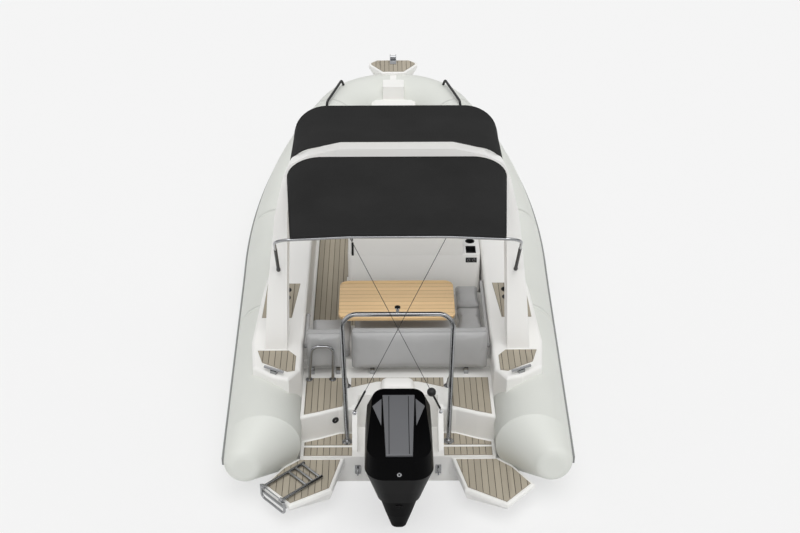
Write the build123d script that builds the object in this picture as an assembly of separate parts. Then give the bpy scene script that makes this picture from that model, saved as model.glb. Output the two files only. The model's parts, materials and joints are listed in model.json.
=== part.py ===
# Open rigid inflatable boat with an outboard engine, in millimetres.
# Frame: +Y to the bow, +X to starboard, +Z up, origin on the centre line at the waterline.
from build123d import *
import os
from math import sin, cos, tan, atan2, hypot, radians, degrees

os.makedirs("parts", exist_ok=True)

# Inflated collar
TUBE_R = 325                # tube radius
TUBE_Z = 450                # height of the tube's centre along its straight run
TUBE_AFT = (1170, -2900)    # plan place of its centre where the stern cone starts
TUBE_MID = (1225, -500)     # and where the sheer starts to rise
SHEER_DEG = 4.3             # rise of the bow run
SHEER_R = 6000              # bend into that rise
BOW_R = 8000                # plan radius of the bow run
BOW_DEG = 23.3              # plan turn of the bow run
NOSE_X = 30                 # each tube ends here beside the stem
CONE_LEN = 310              # oblique cone at the stern
CONE_R = 150
CONE_ROUND = 100
GLUE = 0.3                  # room between the collar and the mouldings
STRAKE_H = 70               # rubbing strake, height and thickness
STRAKE_T = 16

# Hull and deck mouldings
TRANSOM_Y = -2860
HULL_TOP = 200              # plane that carries the deck mouldings
SOLE_Z = 350                # cockpit sole
STEP_Z = 280                # transom top and lower stern step
STERN_DECK_Z = 550
STERN_STEP_Y = -2525        # riser from the lower step to the stern deck, beside the well
STERN_DECK_Y = -1920        # front of the stern deck
RISER_R = 28                # rounding of that riser
COCKPIT_X = TUBE_MID[0] - TUBE_R - 40   # half width between the side decks
SIDE_DECK_Z = TUBE_Z + TUBE_R + 75
BOW_DECK_Y = 1500
BOW_DECK_Z = 720
WELL_X = 360                # half width of the motor well
WELL_Y = -2350              # front of the motor well
WELL_WALL = 60              # transom thickness behind it
PAD_T = 6                   # soft decking
PAD_EDGE = 30               # bare margin round it
PLATFORM_Z = 275            # top of the swim platforms' decking
PLATFORM_T = 150
CUP_R = 40                  # cup holders
CUP_DEPTH = 80

# Seats and table
BENCH_Y = -1370             # front of the aft bench
BENCH_Z = 650               # top of the seat boxes
SIDE_SEAT_X = 575           # inner edge of the starboard seat
SIDE_SEAT_Y = -800          # its front
CUSHION_T = 100
CUSHION_R = 30
CUSHION_GAP = 6
BACK_Y = -2050              # aft face of the bench backrests
BACK_T = 120
TABLE_Z = 1000
TABLE_T = 32
TABLE_POST = (110, -1235)

# Helm
HELM_X = (-480, 840)        # helm seat box, port and starboard side
HELM_Y = (-640, -60)        # back and front
HELM_Z = 950
HELM_SPLIT = 660            # upholstery to port of this, bare top to starboard
CONSOLE_X = (-430, 790)
CONSOLE_Y = (560, 1250)
BROW_Z = 1280
WHEEL_X = 180
WHEEL_R = 180
WHEEL_OUT = 150             # rim's distance from the dash

# Arch and canopies
ARCH_Y = -1880              # centre of the feet, fore and aft
ARCH_LEAN = 15.0
ARCH_T = 300                # fore and aft width
ARCH_TOP = 1809             # top of the beam along the leaning plane
ARCH_BEAM = 110             # thickness of the beam
CLOTH_T = 8
HOOP_R = 12.5               # canopy bow tubes
HOOP_Z = 2430
AFT_CROWN = 30              # rise of the aft bow at the middle
AFT_HOOP_Y = -2760
FORE_HOOP_Y = -300
PIVOT_V = 750               # pivots of the bows along the arch plane

# Stainless rails
SKI_R = 21
RAIL_R = 14

# Outboard
TILT_Y, TILT_Z = -2925, 400
STEER_Y = -3005
STEER_R = 26
TILT_R = 15
ARM_X = (140, 185)          # clamp arms, inner and outer face
RUN_GAP = 1.0               # room round pins and shafts
COWL_WALL = 12
PLATE_Z = -350              # top of the cavitation plate
PROP_Y, PROP_Z = -3690, PLATE_Z - 245
PROP_R = 198
SHAFT_R = 15

# Boarding ladder on the port platform
HINGE_A = (-1150, -3259)    # ends of its hinge line
HINGE_B = (-982, -3440)
LADDER_L = 450
LADDER_R = 14
LADDER_LIFT = 8             # air between the folded ladder and the decking
PIN_R = 6
RUNG_STEP = 75

nodes = {}


def box(x, y, z):
    """Block from (low, high) pairs."""
    size = [b - a for a, b in (x, y, z)]
    return Pos(*[(a + b) / 2 for a, b in (x, y, z)]) * Box(*size)


def prism(points, z0, z1):
    """Solid from a plan outline."""
    return extrude(Pos(0, 0, z0) * Polygon(*points, align=None), z1 - z0, dir=(0, 0, 1))


def side_prism(points, x0, x1):
    """Solid from a side outline of (y, z) points."""
    plane = Plane(origin=(x0, 0, 0), x_dir=(0, 1, 0), z_dir=(1, 0, 0))
    return extrude(plane * Polygon(*points, align=None), x1 - x0, dir=(1, 0, 0))


def port(shape):
    return mirror(shape, about=Plane.YZ)


def group(*shapes):
    return Compound([solid for shape in shapes for solid in shape.solids()])


def both(*shapes):
    return group(*shapes, *[port(shape) for shape in shapes])


def mirrored(points):
    return [(-x, *rest) for x, *rest in reversed(points)]


def symmetric(points):
    return [*points, *mirrored(points)]


def top_edges(shape):
    return shape.faces().sort_by(Axis.Z)[-1].edges()


def round_top(shape, radius, upright=True):
    edges = top_edges(shape)
    if upright:
        edges = edges + shape.edges().filter_by(Axis.Z)
    return fillet(edges, radius)


def rod(points, radius, bend=60):
    """Round bar along straight runs joined by tangent arcs."""
    pts = [Vector(*p) for p in points]
    edges, start = [], pts[0]
    for a, b, c in zip(pts, pts[1:], pts[2:]):
        u, w = (a - b).normalized(), (c - b).normalized()
        half = radians(u.get_angle(w) / 2)
        centre = b + (u + w).normalized() * (bend / sin(half))
        p, q = b + u * (bend / tan(half)), b + w * (bend / tan(half))
        mid = centre + (b - centre).normalized() * bend
        edges += [Line(start, p), ThreePointArc(p, mid, q)]
        start = q
    path = Wire([*edges, Line(start, pts[-1])])
    return sweep(Plane(origin=path @ 0, z_dir=path % 0) * Circle(radius), path=path)


def cylinder_x(radius, length, at):
    return Pos(*at) * Rot(0, 90, 0) * Cylinder(radius, length)


def cylinder_y(radius, length, at):
    return Pos(*at) * Rot(90, 0, 0) * Cylinder(radius, length)


def rounded_plan(half, front, aft, front_r, aft_r, z):
    """Plan section with rounded front and aft corners."""
    face = Polygon((half, front), (half, aft), (-half, aft), (-half, front), align=None)
    corners = face.vertices().sort_by(Axis.Y)
    face = fillet(corners[:2], aft_r)
    face = fillet(face.vertices().sort_by(Axis.Y)[-2:], front_r)
    return Pos(0, 0, z) * face


# Collar: straight run, bend into the sheer, bow run and nose, with an oblique cone aft
heading = atan2(TUBE_MID[0] - TUBE_AFT[0], TUBE_MID[1] - TUBE_AFT[1])
ahead = Vector(sin(heading), cos(heading), 0)
outward = Vector(cos(heading), -sin(heading), 0)
tube_start = Vector(*TUBE_AFT, TUBE_Z)
tube_bend = Vector(*TUBE_MID, TUBE_Z)
rise = radians(SHEER_DEG)


def on_sheer(angle):
    return tube_bend + ahead * (SHEER_R * sin(angle)) + Vector(0, 0, SHEER_R * (1 - cos(angle)))


slope = ahead * cos(rise) + Vector(0, 0, sin(rise))
bow_plane = Plane(origin=on_sheer(rise), x_dir=outward, z_dir=outward.cross(slope))
bow_run = JernArc((0, 0), (0, 1), BOW_R, BOW_DEG)
run_end, run_way = bow_run @ 1, bow_run % 1
nose_turn = degrees(atan2(run_way.Y, -run_way.X))
nose_r = (bow_plane.from_local_coords(run_end).X - NOSE_X) / sin(radians(nose_turn))
nose = JernArc((run_end.X, run_end.Y), (run_way.X, run_way.Y), nose_r, nose_turn)
bow_edges = [ThreePointArc(tube_bend, on_sheer(rise / 2), on_sheer(rise)), bow_plane * bow_run,
             bow_plane * nose]
nose_at = bow_plane.from_local_coords(nose @ 1)


def along_collar(section, start):
    """Sweep a section, drawn outward and up about the tube's centre, from start to the nose."""
    path = Wire([Line(start, tube_bend), *bow_edges])
    return sweep(Plane(origin=start, x_dir=outward, z_dir=ahead) * section, path=path)


def collar(grow=0.0):
    cone_end = tube_start - ahead * CONE_LEN + outward * (TUBE_R - CONE_R)
    cone = loft([Plane(origin=tube_start, x_dir=outward, z_dir=ahead) * Circle(TUBE_R + grow),
                 Plane(origin=cone_end, x_dir=outward, z_dir=ahead) * Circle(CONE_R + grow)], ruled=True)
    cone = fillet(cone.faces().sort_by(Axis.Y)[0].edges(), CONE_ROUND)
    return along_collar(Circle(TUBE_R + grow), tube_start) + cone


tube = collar()
seat = collar(GLUE)
clear = collar(PAD_EDGE)
seats = seat + port(seat)
nodes["tube_starboard"] = tube
nodes["tube_port"] = port(tube)
strake_start = tube_start - ahead * (CONE_LEN - CONE_ROUND)
strake = along_collar(Pos(TUBE_R, 0) * Rectangle(2 * STRAKE_T, STRAKE_H), strake_start) - seat
strake = max(strake.solids(), key=lambda solid: solid.volume)
nodes["rub_strakes"] = both(strake)

# Hull: stations from the transom to the stem, each with two spray rails and a chine flat
HULL = [  # y, keel z, chine x, chine z, top x, top z
    (TRANSOM_Y, -300, 880, 55, 1000, HULL_TOP),
    (-400, -330, 910, 50, 1060, HULL_TOP),
    (1300, -310, 820, 120, 1000, HULL_TOP),
    (2400, -190, 580, 270, 760, 330),
    (3200, 70, 300, 425, 450, 500),
    (3640, 400, 100, 560, 170, 625),
    (3800, 600, 24, 640, 50, 680),
]
RAILS_AT = (0.36, 0.7)      # spray rails, as shares of the bottom panel
RAIL_W = 0.045              # their width, as a share of the chine's half width


def hull_section(y, keel, chine_x, chine_z, top_x, top_z):
    width = RAIL_W * chine_x
    right = [(0, keel)]
    for share in RAILS_AT:
        x, z = share * chine_x, keel + share * (chine_z - keel)
        right += [(x, z), (x + width, z)]
    right += [(chine_x, chine_z), (chine_x + width, chine_z), (top_x, top_z)]
    plane = Plane(origin=(0, y, 0), x_dir=(1, 0, 0), z_dir=(0, -1, 0))
    return plane * Polygon(*right, *mirrored(right[1:]), align=None)


hull = loft([hull_section(*row) for row in HULL], ruled=True)
nodes["hull"] = hull - seats

# Deck mouldings
under_bow = side_prism([(y, top) for y, *_, top in HULL[2:]] + [(HULL[-1][0], HULL[0][1]),
                                                                (HULL[2][0], HULL[0][1])],
                       -TUBE_MID[0], TUBE_MID[0])
sole = box((-COCKPIT_X, COCKPIT_X), (STERN_DECK_Y, BOW_DECK_Y), (HULL_TOP, SOLE_Z))
nodes["cockpit_sole"] = sole - seats - under_bow

SIDE_DECK = [(COCKPIT_X, -2330), (COCKPIT_X + 100, -2485), (1100, -2445), (1290, -2300), (1330, -1900),
             (1290, -1060),
             (1150, 400), (1000, BOW_DECK_Y), (COCKPIT_X, BOW_DECK_Y)]
SHOULDER_PAD = [(980, -2060), (COCKPIT_X + 50, -2145), (COCKPIT_X + 50, -2365), (977, -2380), (1210, -2240),
                (1262, -2060)]
CUP_PAD = [(985, -1530), (1265, -1530), (1250, -940), (935, -940)]
CUPS = [(1060, -1195), (1060, -1060)]
cups = [Pos(x, y, SIDE_DECK_Z) * Cylinder(CUP_R, 2 * CUP_DEPTH) for x, y in CUPS]
side_deck = fillet(top_edges(prism(SIDE_DECK, HULL_TOP, SIDE_DECK_Z)), 30)
side_deck = side_deck - seat - under_bow - cups
nodes["side_decks"] = both(side_deck)

LOCKER_Z = BOW_DECK_Z + 160     # raised anchor locker behind the nose
LOCKER_X, LOCKER_DEPTH = 215, 140
LOCKER_Y = (nose_at.Y - TUBE_R - 250, nose_at.Y - TUBE_R - 60)
BOW_DECK = [(1010, BOW_DECK_Y), (820, 2600), (560, nose_at.Y - 250), (330, nose_at.Y)]
LOCKER_WALL = 60
locker_half = LOCKER_X + LOCKER_WALL
locker = box((-locker_half, locker_half), (LOCKER_Y[0] - LOCKER_WALL, nose_at.Y), (BOW_DECK_Z, LOCKER_Z))
locker = fillet(top_edges(locker), 25)
stem_seat = cylinder_x(TUBE_R + GLUE, 2 * nose_at.X + 2, (0, nose_at.Y, nose_at.Z))
bow_deck = prism(symmetric(BOW_DECK), HULL_TOP, BOW_DECK_Z) + locker - seats - stem_seat - under_bow
bow_deck = bow_deck - box((-LOCKER_X, LOCKER_X), LOCKER_Y, (LOCKER_Z - LOCKER_DEPTH, LOCKER_Z))
nodes["bow_deck"] = max(bow_deck.solids(), key=lambda solid: solid.volume)

# Stern moulding: lower step, rounded riser, motor well and splash hump
HUMP_X, HUMP_Y, HUMP_Z = 150, (-2340, -2180), 660
STERN_EDGE = [(COCKPIT_X, STERN_STEP_Y - 120), (700, STERN_STEP_Y - 73), (520, STERN_STEP_Y)]
stern = prism(symmetric([(COCKPIT_X, STERN_DECK_Y), *STERN_EDGE]), HULL_TOP, STERN_DECK_Z)
stern = fillet(top_edges(stern).filter_by(lambda e: (e @ 0.5).Y < STERN_STEP_Y + 1), RISER_R)
stern = stern + box((-COCKPIT_X, COCKPIT_X), (TRANSOM_Y, STERN_STEP_Y + RISER_R), (HULL_TOP, STEP_Z))
CHEEK_T, COAMING_T = 45, 14
coaming_z = STERN_DECK_Z + COAMING_T
cheek_side = [(TRANSOM_Y + WELL_WALL + 10, STEP_Z - 20), (STERN_STEP_Y + 40, coaming_z), (WELL_Y, coaming_z),
              (WELL_Y, STEP_Z - 20)]
well_cheek = side_prism(cheek_side, WELL_X, WELL_X + CHEEK_T)
stern = stern + well_cheek + port(well_cheek)
stern = stern - box((-WELL_X, WELL_X), (TRANSOM_Y + WELL_WALL, WELL_Y), (HULL_TOP, STERN_DECK_Z))
hump = round_top(box((-HUMP_X, HUMP_X), HUMP_Y, (STERN_DECK_Z, HUMP_Z)), 60)
COAMING = [(WELL_X + CHEEK_T, WELL_Y - 60), (WELL_X + CHEEK_T, -2330), (330, -2210), (180, -2150)]
coaming = fillet(top_edges(prism(symmetric(COAMING), STERN_DECK_Z, coaming_z)), 8)
coaming = coaming - box((-WELL_X, WELL_X), (TRANSOM_Y, WELL_Y), (STERN_DECK_Z, HUMP_Z))
nodes["stern_moulding"] = stern + hump + coaming - seats

PLATFORM = [(470, TRANSOM_Y), (566, -3275), (916, -3480), (1169, -3215), (930, TRANSOM_Y)]
PLATFORM_FOOT = [(500, TRANSOM_Y), (590, -3225), (925, -3365), (1110, -3130), (930, TRANSOM_Y)]
platform_top = PLATFORM_Z - PAD_T
RIM_H = 40                  # upright rim of a platform, over its tapered foot
platform = prism(PLATFORM, platform_top - RIM_H, platform_top)
platform = fillet(top_edges(platform), 18)
platform = platform + loft([Pos(0, 0, platform_top - PLATFORM_T) * Polygon(*PLATFORM_FOOT, align=None),
                            Pos(0, 0, platform_top - RIM_H) * Polygon(*PLATFORM, align=None)], ruled=True)
platform = platform - seat
nodes["swim_platforms"] = both(platform)


def pad(points, z, margin=0):
    face = Polygon(*points, align=None)
    if margin:
        face = offset(face, -margin, kind=Kind.INTERSECTION)
    return extrude(Pos(0, 0, z) * face, PAD_T, dir=(0, 0, 1))


def pad_box(x, y):
    return [(x[0], y[0]), (x[1], y[0]), (x[1], y[1]), (x[0], y[1])]


# Soft decking sheets
pad_x = (WELL_X + CHEEK_T, COCKPIT_X - PAD_EDGE)
STERN_PAD = [(490, STERN_STEP_Y + 35), (700, STERN_STEP_Y - 43), (pad_x[1], STERN_STEP_Y - 84),
             (pad_x[1], BACK_Y - 25),
             (490, BACK_Y - 25)]
STERN_STRIP = [(420, BACK_Y - 25), (420, -2217), (350, -2190), (190, -2130)]
STEP_SEAM_Y = -2720         # seam between the two lower sheets
LOWER_PAD = [(pad_x[0], STEP_SEAM_Y + 15), (pad_x[1], STEP_SEAM_Y + 15), (pad_x[1], STERN_STEP_Y - 142),
             (700, STERN_STEP_Y - 98), (520, STERN_STEP_Y - 22), (pad_x[0], STERN_STEP_Y - 22)]
AFT_EDGE = 12               # narrower bare margin along the transom
stern_pads = [pad(PLATFORM, platform_top, PAD_EDGE),
              pad(pad_box(pad_x, (TRANSOM_Y + AFT_EDGE, STEP_SEAM_Y - 15)), STEP_Z),
              pad(LOWER_PAD, STEP_Z),
              pad(STERN_PAD, STERN_DECK_Z)]
side_pads = [pad(SHOULDER_PAD, SIDE_DECK_Z), pad(CUP_PAD, SIDE_DECK_Z) - cups]
aisle_x = (-COCKPIT_X + PAD_EDGE, HELM_X[0] - PAD_EDGE)
SOLE_PADS = [  # x, y
    (aisle_x, (BENCH_Y + PAD_EDGE, BOW_DECK_Y - PAD_EDGE)),
    ((aisle_x[1], SIDE_SEAT_X - PAD_EDGE), (BENCH_Y + PAD_EDGE, HELM_Y[0] - 2 * PAD_EDGE)),
    ((aisle_x[1], COCKPIT_X - PAD_EDGE), (HELM_Y[1] + PAD_EDGE, CONSOLE_Y[0])),
]
TABLE_FOOT_R = 110
sole_pad = [pad(pad_box(x, y), SOLE_Z) for x, y in SOLE_PADS]
sole_pad = sole_pad[0] + sole_pad[1] + sole_pad[2] - Pos(*TABLE_POST, SOLE_Z) * Cylinder(TABLE_FOOT_R + 2,
                                                                                         4 * PAD_T)
nodes["decking"] = group(both(*[sheet - clear for sheet in stern_pads], *side_pads), sole_pad,
                         pad(symmetric(STERN_STRIP), STERN_DECK_Z))

# Bow: stem block between the tubes, anchor step, sunpad and locker lid
BOW_STEP_Z = nose_at.Z + TUBE_R + 35
BOW_STEP_T = 40
bow_y = nose_at.Y
BOW_STEP = [(145, bow_y + 35), (306, bow_y + 280), (306, bow_y + 345), (215, bow_y + 440)]
STEM_X = 130                # half width of the moulding that carries the step over the tubes
BOW_FOOT = [(110, bow_y - 40), (130, bow_y + 60), (130, bow_y + 200), (90, bow_y + 300)]
FOOT_DROP = 200             # depth of the step's tapered underside
step_low = BOW_STEP_Z - PAD_T - BOW_STEP_T
stem = cylinder_x(TUBE_R - 6, 2 * (nose_at.X - GLUE), (0, nose_at.Y, nose_at.Z)) - hull
bow_step = prism(symmetric(BOW_STEP), step_low, BOW_STEP_Z - PAD_T)
bow_step = fillet(top_edges(bow_step), 12)
taper = loft([Pos(0, 0, step_low - FOOT_DROP) * Polygon(*symmetric(BOW_FOOT), align=None),
              Pos(0, 0, step_low) * Polygon(*symmetric(BOW_STEP), align=None)], ruled=True)
saddle = box((-STEM_X, STEM_X), (bow_y - 0.95 * TUBE_R, bow_y + 60), (nose_at.Z, step_low))
nodes["bow_step"] = bow_step + taper + stem + saddle - seats - bow_deck
bow_pad = offset(Polygon(*symmetric(BOW_STEP), align=None), -PAD_EDGE, kind=Kind.INTERSECTION)
nodes["decking"] = group(nodes["decking"],
                         extrude(Pos(0, 0, BOW_STEP_Z - PAD_T) * bow_pad, PAD_T, dir=(0, 0, 1)))
SUNPAD = [(745, BOW_DECK_Y + 60), (560, 2400), (425, 2740), (370, LOCKER_Y[0] - LOCKER_WALL - 40)]
sunpad = prism(symmetric(SUNPAD), BOW_DECK_Z, BOW_DECK_Z + CUSHION_T)
nodes["bow_sunpad"] = fillet(top_edges(sunpad), CUSHION_R)
LID_T, LID_LAP = 22, 18
lid = box((-LOCKER_X - LID_LAP, LOCKER_X + LID_LAP), (LOCKER_Y[0] - LID_LAP, LOCKER_Y[1] + LID_LAP),
          (LOCKER_Z + GLUE, LOCKER_Z + LID_T))
lid = fillet(lid.edges().filter_by(Axis.Z), 25)
LID_PIN_R, LID_KNUCKLE_R = 5, 10
LID_HINGE_X = (60, 160)     # each lid knuckle runs between these, with a fixed knuckle at both ends
FIXED_L = 24
lid_axis = (0, LOCKER_Y[0] - LID_LAP - 16, LOCKER_Z + LID_KNUCKLE_R + 1)
hinge_at, hinge_l = sum(LID_HINGE_X) / 2, LID_HINGE_X[1] - LID_HINGE_X[0]
knuckle = cylinder_x(LID_KNUCKLE_R, hinge_l, (hinge_at, *lid_axis[1:]))
strap = box(LID_HINGE_X, (lid_axis[1], LOCKER_Y[0]), (lid_axis[2] + 3, lid_axis[2] + LID_KNUCKLE_R))
knuckle = knuckle + strap - cylinder_x(LID_PIN_R + RUN_GAP, 2 * hinge_l, (hinge_at, *lid_axis[1:]))
nodes["locker_lid"] = lid + knuckle + port(knuckle)
fixed_hinge = cylinder_x(LID_PIN_R, hinge_l + 2 * FIXED_L, (hinge_at, *lid_axis[1:]))
for at in (LID_HINGE_X[0] - FIXED_L / 2 - RUN_GAP, LID_HINGE_X[1] + FIXED_L / 2 + RUN_GAP):
    fixed_hinge = fixed_hinge + cylinder_x(LID_KNUCKLE_R, FIXED_L, (at, *lid_axis[1:]))
    fixed_hinge = fixed_hinge + box((at - FIXED_L / 2, at + FIXED_L / 2),
                                    (lid_axis[1] - LID_KNUCKLE_R, lid_axis[1]),
                                    (LOCKER_Z, lid_axis[2]))
ROLLER_Y = bow_y + 455
cheek = side_prism([(ROLLER_Y - 175, BOW_STEP_Z), (ROLLER_Y - 30, BOW_STEP_Z + 55),
                    (ROLLER_Y + 30, BOW_STEP_Z + 55),
                    (ROLLER_Y + 30, BOW_STEP_Z)], 34, 40)
roller = cylinder_x(18, 68, (0, ROLLER_Y, BOW_STEP_Z + 28))
nodes["anchor_roller"] = both(cheek) + roller + box((-40, 40), (ROLLER_Y - 175, ROLLER_Y + 30),
                                                    (BOW_STEP_Z, BOW_STEP_Z + 6))

# Seat boxes, cushions and backrests
bench = box((-COCKPIT_X, COCKPIT_X), (STERN_DECK_Y, BENCH_Y), (SOLE_Z, BENCH_Z))
nodes["bench_base"] = bench + box((SIDE_SEAT_X, COCKPIT_X), (BENCH_Y, SIDE_SEAT_Y), (SOLE_Z, BENCH_Z))
SIDE_BACK_T = 45            # padding on the inner side of the side decks
edge_x = COCKPIT_X - SIDE_BACK_T - 5
SEAT_SPLIT_Y = BENCH_Y - 190
SEATS = [  # x, y
    ((-edge_x, -420), (STERN_DECK_Y, BENCH_Y)),
    ((-420 + CUSHION_GAP, SIDE_SEAT_X - CUSHION_GAP), (STERN_DECK_Y, BENCH_Y)),
    ((SIDE_SEAT_X, edge_x), (STERN_DECK_Y, SEAT_SPLIT_Y)),
    ((SIDE_SEAT_X, edge_x), (SEAT_SPLIT_Y + CUSHION_GAP, -1190)),
    ((SIDE_SEAT_X, edge_x), (-1190 + CUSHION_GAP, SIDE_SEAT_Y)),
]
cushions = [round_top(box(x, (y[0] + CUSHION_GAP, y[1]), (BENCH_Z, BENCH_Z + CUSHION_T)), CUSHION_R) for x,
            y in SEATS]
helm_seat_x = (HELM_X[0] + 15, HELM_SPLIT)
HELM_BACK_H = 460
helm_back_y = HELM_Y[0] + 90
cushions.append(round_top(box(helm_seat_x, (helm_back_y + BACK_T + CUSHION_GAP, HELM_Y[1]),
                              (HELM_Z, HELM_Z + CUSHION_T)), CUSHION_R))
nodes["cushions"] = group(*cushions)
BACKS = [  # x, z
    ((-431, COCKPIT_X - 24), (612, 1042)),
    ((24 - COCKPIT_X, -485), (625, 1032)),
]
BRACKET_W = 40
backrests, brackets = [], []
for x, z in BACKS:
    back = box(x, (BACK_Y, BACK_Y + BACK_T), z)
    backrests.append(fillet(back.edges(), CUSHION_R))
    inset = 0.16 * (x[1] - x[0])
    for at in (x[0] + inset, x[1] - inset):
        brackets.append(box((at - BRACKET_W / 2, at + BRACKET_W / 2), (BACK_Y + 35, BACK_Y + 85),
                            (STERN_DECK_Z, z[0])))
helm_back = box(helm_seat_x, (helm_back_y, helm_back_y + BACK_T), (HELM_Z, HELM_Z + HELM_BACK_H))
backrests.append(round_top(helm_back, CUSHION_R))
side_z = (BENCH_Z + CUSHION_T + 5, SIDE_DECK_Z - 35)
SIDE_BACKS = [  # x, front
    ((-COCKPIT_X, SIDE_BACK_T - COCKPIT_X), BENCH_Y), ((COCKPIT_X - SIDE_BACK_T, COCKPIT_X), SIDE_SEAT_Y)]
for x, front in SIDE_BACKS:
    backrests.append(fillet(box(x, (BACK_Y + BACK_T + 10, front), side_z).edges(), 15))
nodes["backrests"] = group(*backrests)
nodes["backrest_brackets"] = group(*brackets)

TABLE_X, TABLE_Y = 540, (-1755, -1115)
table = box((-TABLE_X, TABLE_X), TABLE_Y, (TABLE_Z - TABLE_T, TABLE_Z))
table = fillet(table.edges().filter_by(Axis.Z), 90)
nodes["table_top"] = fillet(table.faces().sort_by(Axis.Z)[-1].edges(), 8)
POST_R, FOOT_T = 38, 20
post_h = TABLE_Z - TABLE_T - SOLE_Z - FOOT_T
post = Pos(*TABLE_POST, SOLE_Z + FOOT_T + post_h / 2) * Cylinder(POST_R, post_h)
nodes["table_post"] = post + Pos(*TABLE_POST, SOLE_Z + FOOT_T / 2) * Cylinder(TABLE_FOOT_R, FOOT_T)

# Helm seat box with a cup holder and a tray in its bare top
HELM_CUP = (750, -310)
TRAY_X, TRAY_Y, TRAY_DEPTH = (700, 800), (-540, -400), 60
SHELL_T = 34                # moulded back behind the helm backrest
SHELL_LEAN = 60
helm_side = [(HELM_Y[0] - 30, SOLE_Z), (HELM_Y[0] + SHELL_LEAN - 4, HELM_Z), (HELM_Y[1], HELM_Z),
             (HELM_Y[1], SOLE_Z + 160),
             (HELM_Y[1] - 90, SOLE_Z + 110), (HELM_Y[1] - 90, SOLE_Z)]
helm = side_prism(helm_side, *HELM_X)
back_corners = helm.edges().filter_by(lambda e: e.length > 500 and abs(e.tangent_at(0).X) < 0.1)
back_corners = back_corners.sort_by(Axis.Y)[:2]
helm = fillet(back_corners, 60)
shell_y = HELM_Y[0] + SHELL_LEAN - 4
shell = box((helm_seat_x[0] - 5, HELM_SPLIT), (shell_y, shell_y + SHELL_T),
            (HELM_Z, HELM_Z + HELM_BACK_H + 20))
shell = fillet(shell.edges().filter_by(Axis.Y).sort_by(Axis.Z)[-2:], 60)
helm = helm + shell
helm = helm - Pos(*HELM_CUP, HELM_Z) * Cylinder(CUP_R, 2 * CUP_DEPTH)
nodes["helm_seat_base"] = helm - box(TRAY_X, TRAY_Y, (HELM_Z - TRAY_DEPTH, HELM_Z))

# Console with a sloping dash, windscreen, wheel and controls
dash_low = Vector(0, CONSOLE_Y[0], 930)
dash_high = Vector(0, CONSOLE_Y[0] + 170, BROW_Z - 50)
console_side = [(CONSOLE_Y[0] + 60, SOLE_Z), (dash_low.Y, dash_low.Z), (dash_high.Y, dash_high.Z),
                (dash_high.Y + 90, BROW_Z), (CONSOLE_Y[1] - 150, BROW_Z - 70), (CONSOLE_Y[1], SOLE_Z)]
console = side_prism(console_side, *CONSOLE_X)
console = fillet(console.edges().filter_by(lambda e: abs(e.tangent_at(0).X) < 0.1), 35)
dash_up = (dash_high - dash_low).normalized()
dash_plane = Plane(origin=(dash_low + dash_high) * 0.5, x_dir=(1, 0, 0), z_dir=Vector(1, 0, 0).cross(dash_up))
COLUMN_R = 16
column = dash_plane * (Pos(WHEEL_X, -40, (WHEEL_OUT + 20) / 2) * Cylinder(COLUMN_R, WHEEL_OUT + 20))
nodes["console"] = console + column
SCREEN_Y, SCREEN_TOP, SCREEN_RAKE, GLASS_T = CONSOLE_Y[0] + 400, 1720, 180, 10
screen = side_prism([(SCREEN_Y, BROW_Z - 80), (SCREEN_Y + GLASS_T, BROW_Z - 80),
                     (SCREEN_Y - SCREEN_RAKE + GLASS_T, SCREEN_TOP),
                     (SCREEN_Y - SCREEN_RAKE, SCREEN_TOP)], CONSOLE_X[0] + 50, CONSOLE_X[1] - 50)
wing = side_prism([(SCREEN_Y + 3, BROW_Z - 80), (SCREEN_Y - SCREEN_RAKE + 3, SCREEN_TOP),
                   (SCREEN_Y - SCREEN_RAKE - 60, SCREEN_TOP),
                   (dash_high.Y + 70, BROW_Z - 80)], CONSOLE_X[0] + 50, CONSOLE_X[0] + 50 + GLASS_T)
wing_to = CONSOLE_X[1] - CONSOLE_X[0] - 100 - GLASS_T
nodes["windscreen"] = screen + wing + Pos(wing_to, 0, 0) * wing - console
wheel = Torus(WHEEL_R, 15)
for k in range(3):
    wheel = wheel + Rot(0, 0, 90 + 120 * k) * Pos(WHEEL_R / 2, 0, 0) * Box(WHEEL_R, 34, 10)
wheel = wheel + Cylinder(45, 30) - Cylinder(COLUMN_R + RUN_GAP, 60)
wheel_plane = dash_plane * Pos(WHEEL_X, -40, WHEEL_OUT)
nodes["steering_wheel"] = wheel_plane * wheel
display = dash_plane * Pos(-240, 20, 11) * Box(320, 230, 22)
switches = dash_plane * Pos(470, 70, 6) * Box(200, 120, 12)
lever_box = dash_plane * (Pos(620, -90, 40) * Box(90, 130, 80))
lever_arm = Pos(672, -50, 100) * Rot(-20, 0, 0) * Box(14, 26, 150)
lever = dash_plane * (lever_arm + Pos(645, -28, 168) * Rot(0, 90, 0) * Cylinder(16, 80))
nodes["dash_controls"] = group(display, switches, lever_box + lever)

# Roll arch, leaning forward over the cockpit
lean = radians(ARCH_LEAN)
arch_plane = Plane(origin=(0, ARCH_Y, SIDE_DECK_Z), x_dir=(1, 0, 0), z_dir=(0, -cos(lean), sin(lean)))
ARCH_OUT = [(1205, -120), (1160, 500), (1075, 1220), (1000, ARCH_TOP - 280), (935, ARCH_TOP - 141),
            (770, ARCH_TOP - 64),
            (500, ARCH_TOP - 6)]
ARCH_IN = [(1000, -120), (985, 500), (962, 1250), (930, ARCH_TOP - 300), (810, ARCH_TOP - 204),
           (660, ARCH_TOP - 144),
           (450, ARCH_TOP - ARCH_BEAM)]
outline = Polygon(*ARCH_OUT, *mirrored(ARCH_OUT), *[(-x, v) for x, v in ARCH_IN], *reversed(ARCH_IN),
                  align=None)
outline = fillet(outline.vertices().filter_by(lambda v: v.Y > 0), 90)
arch = extrude(arch_plane * outline, ARCH_T / 2, both=True)
ARCH_REACH = 3000           # larger than the arch, for cutting
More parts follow.
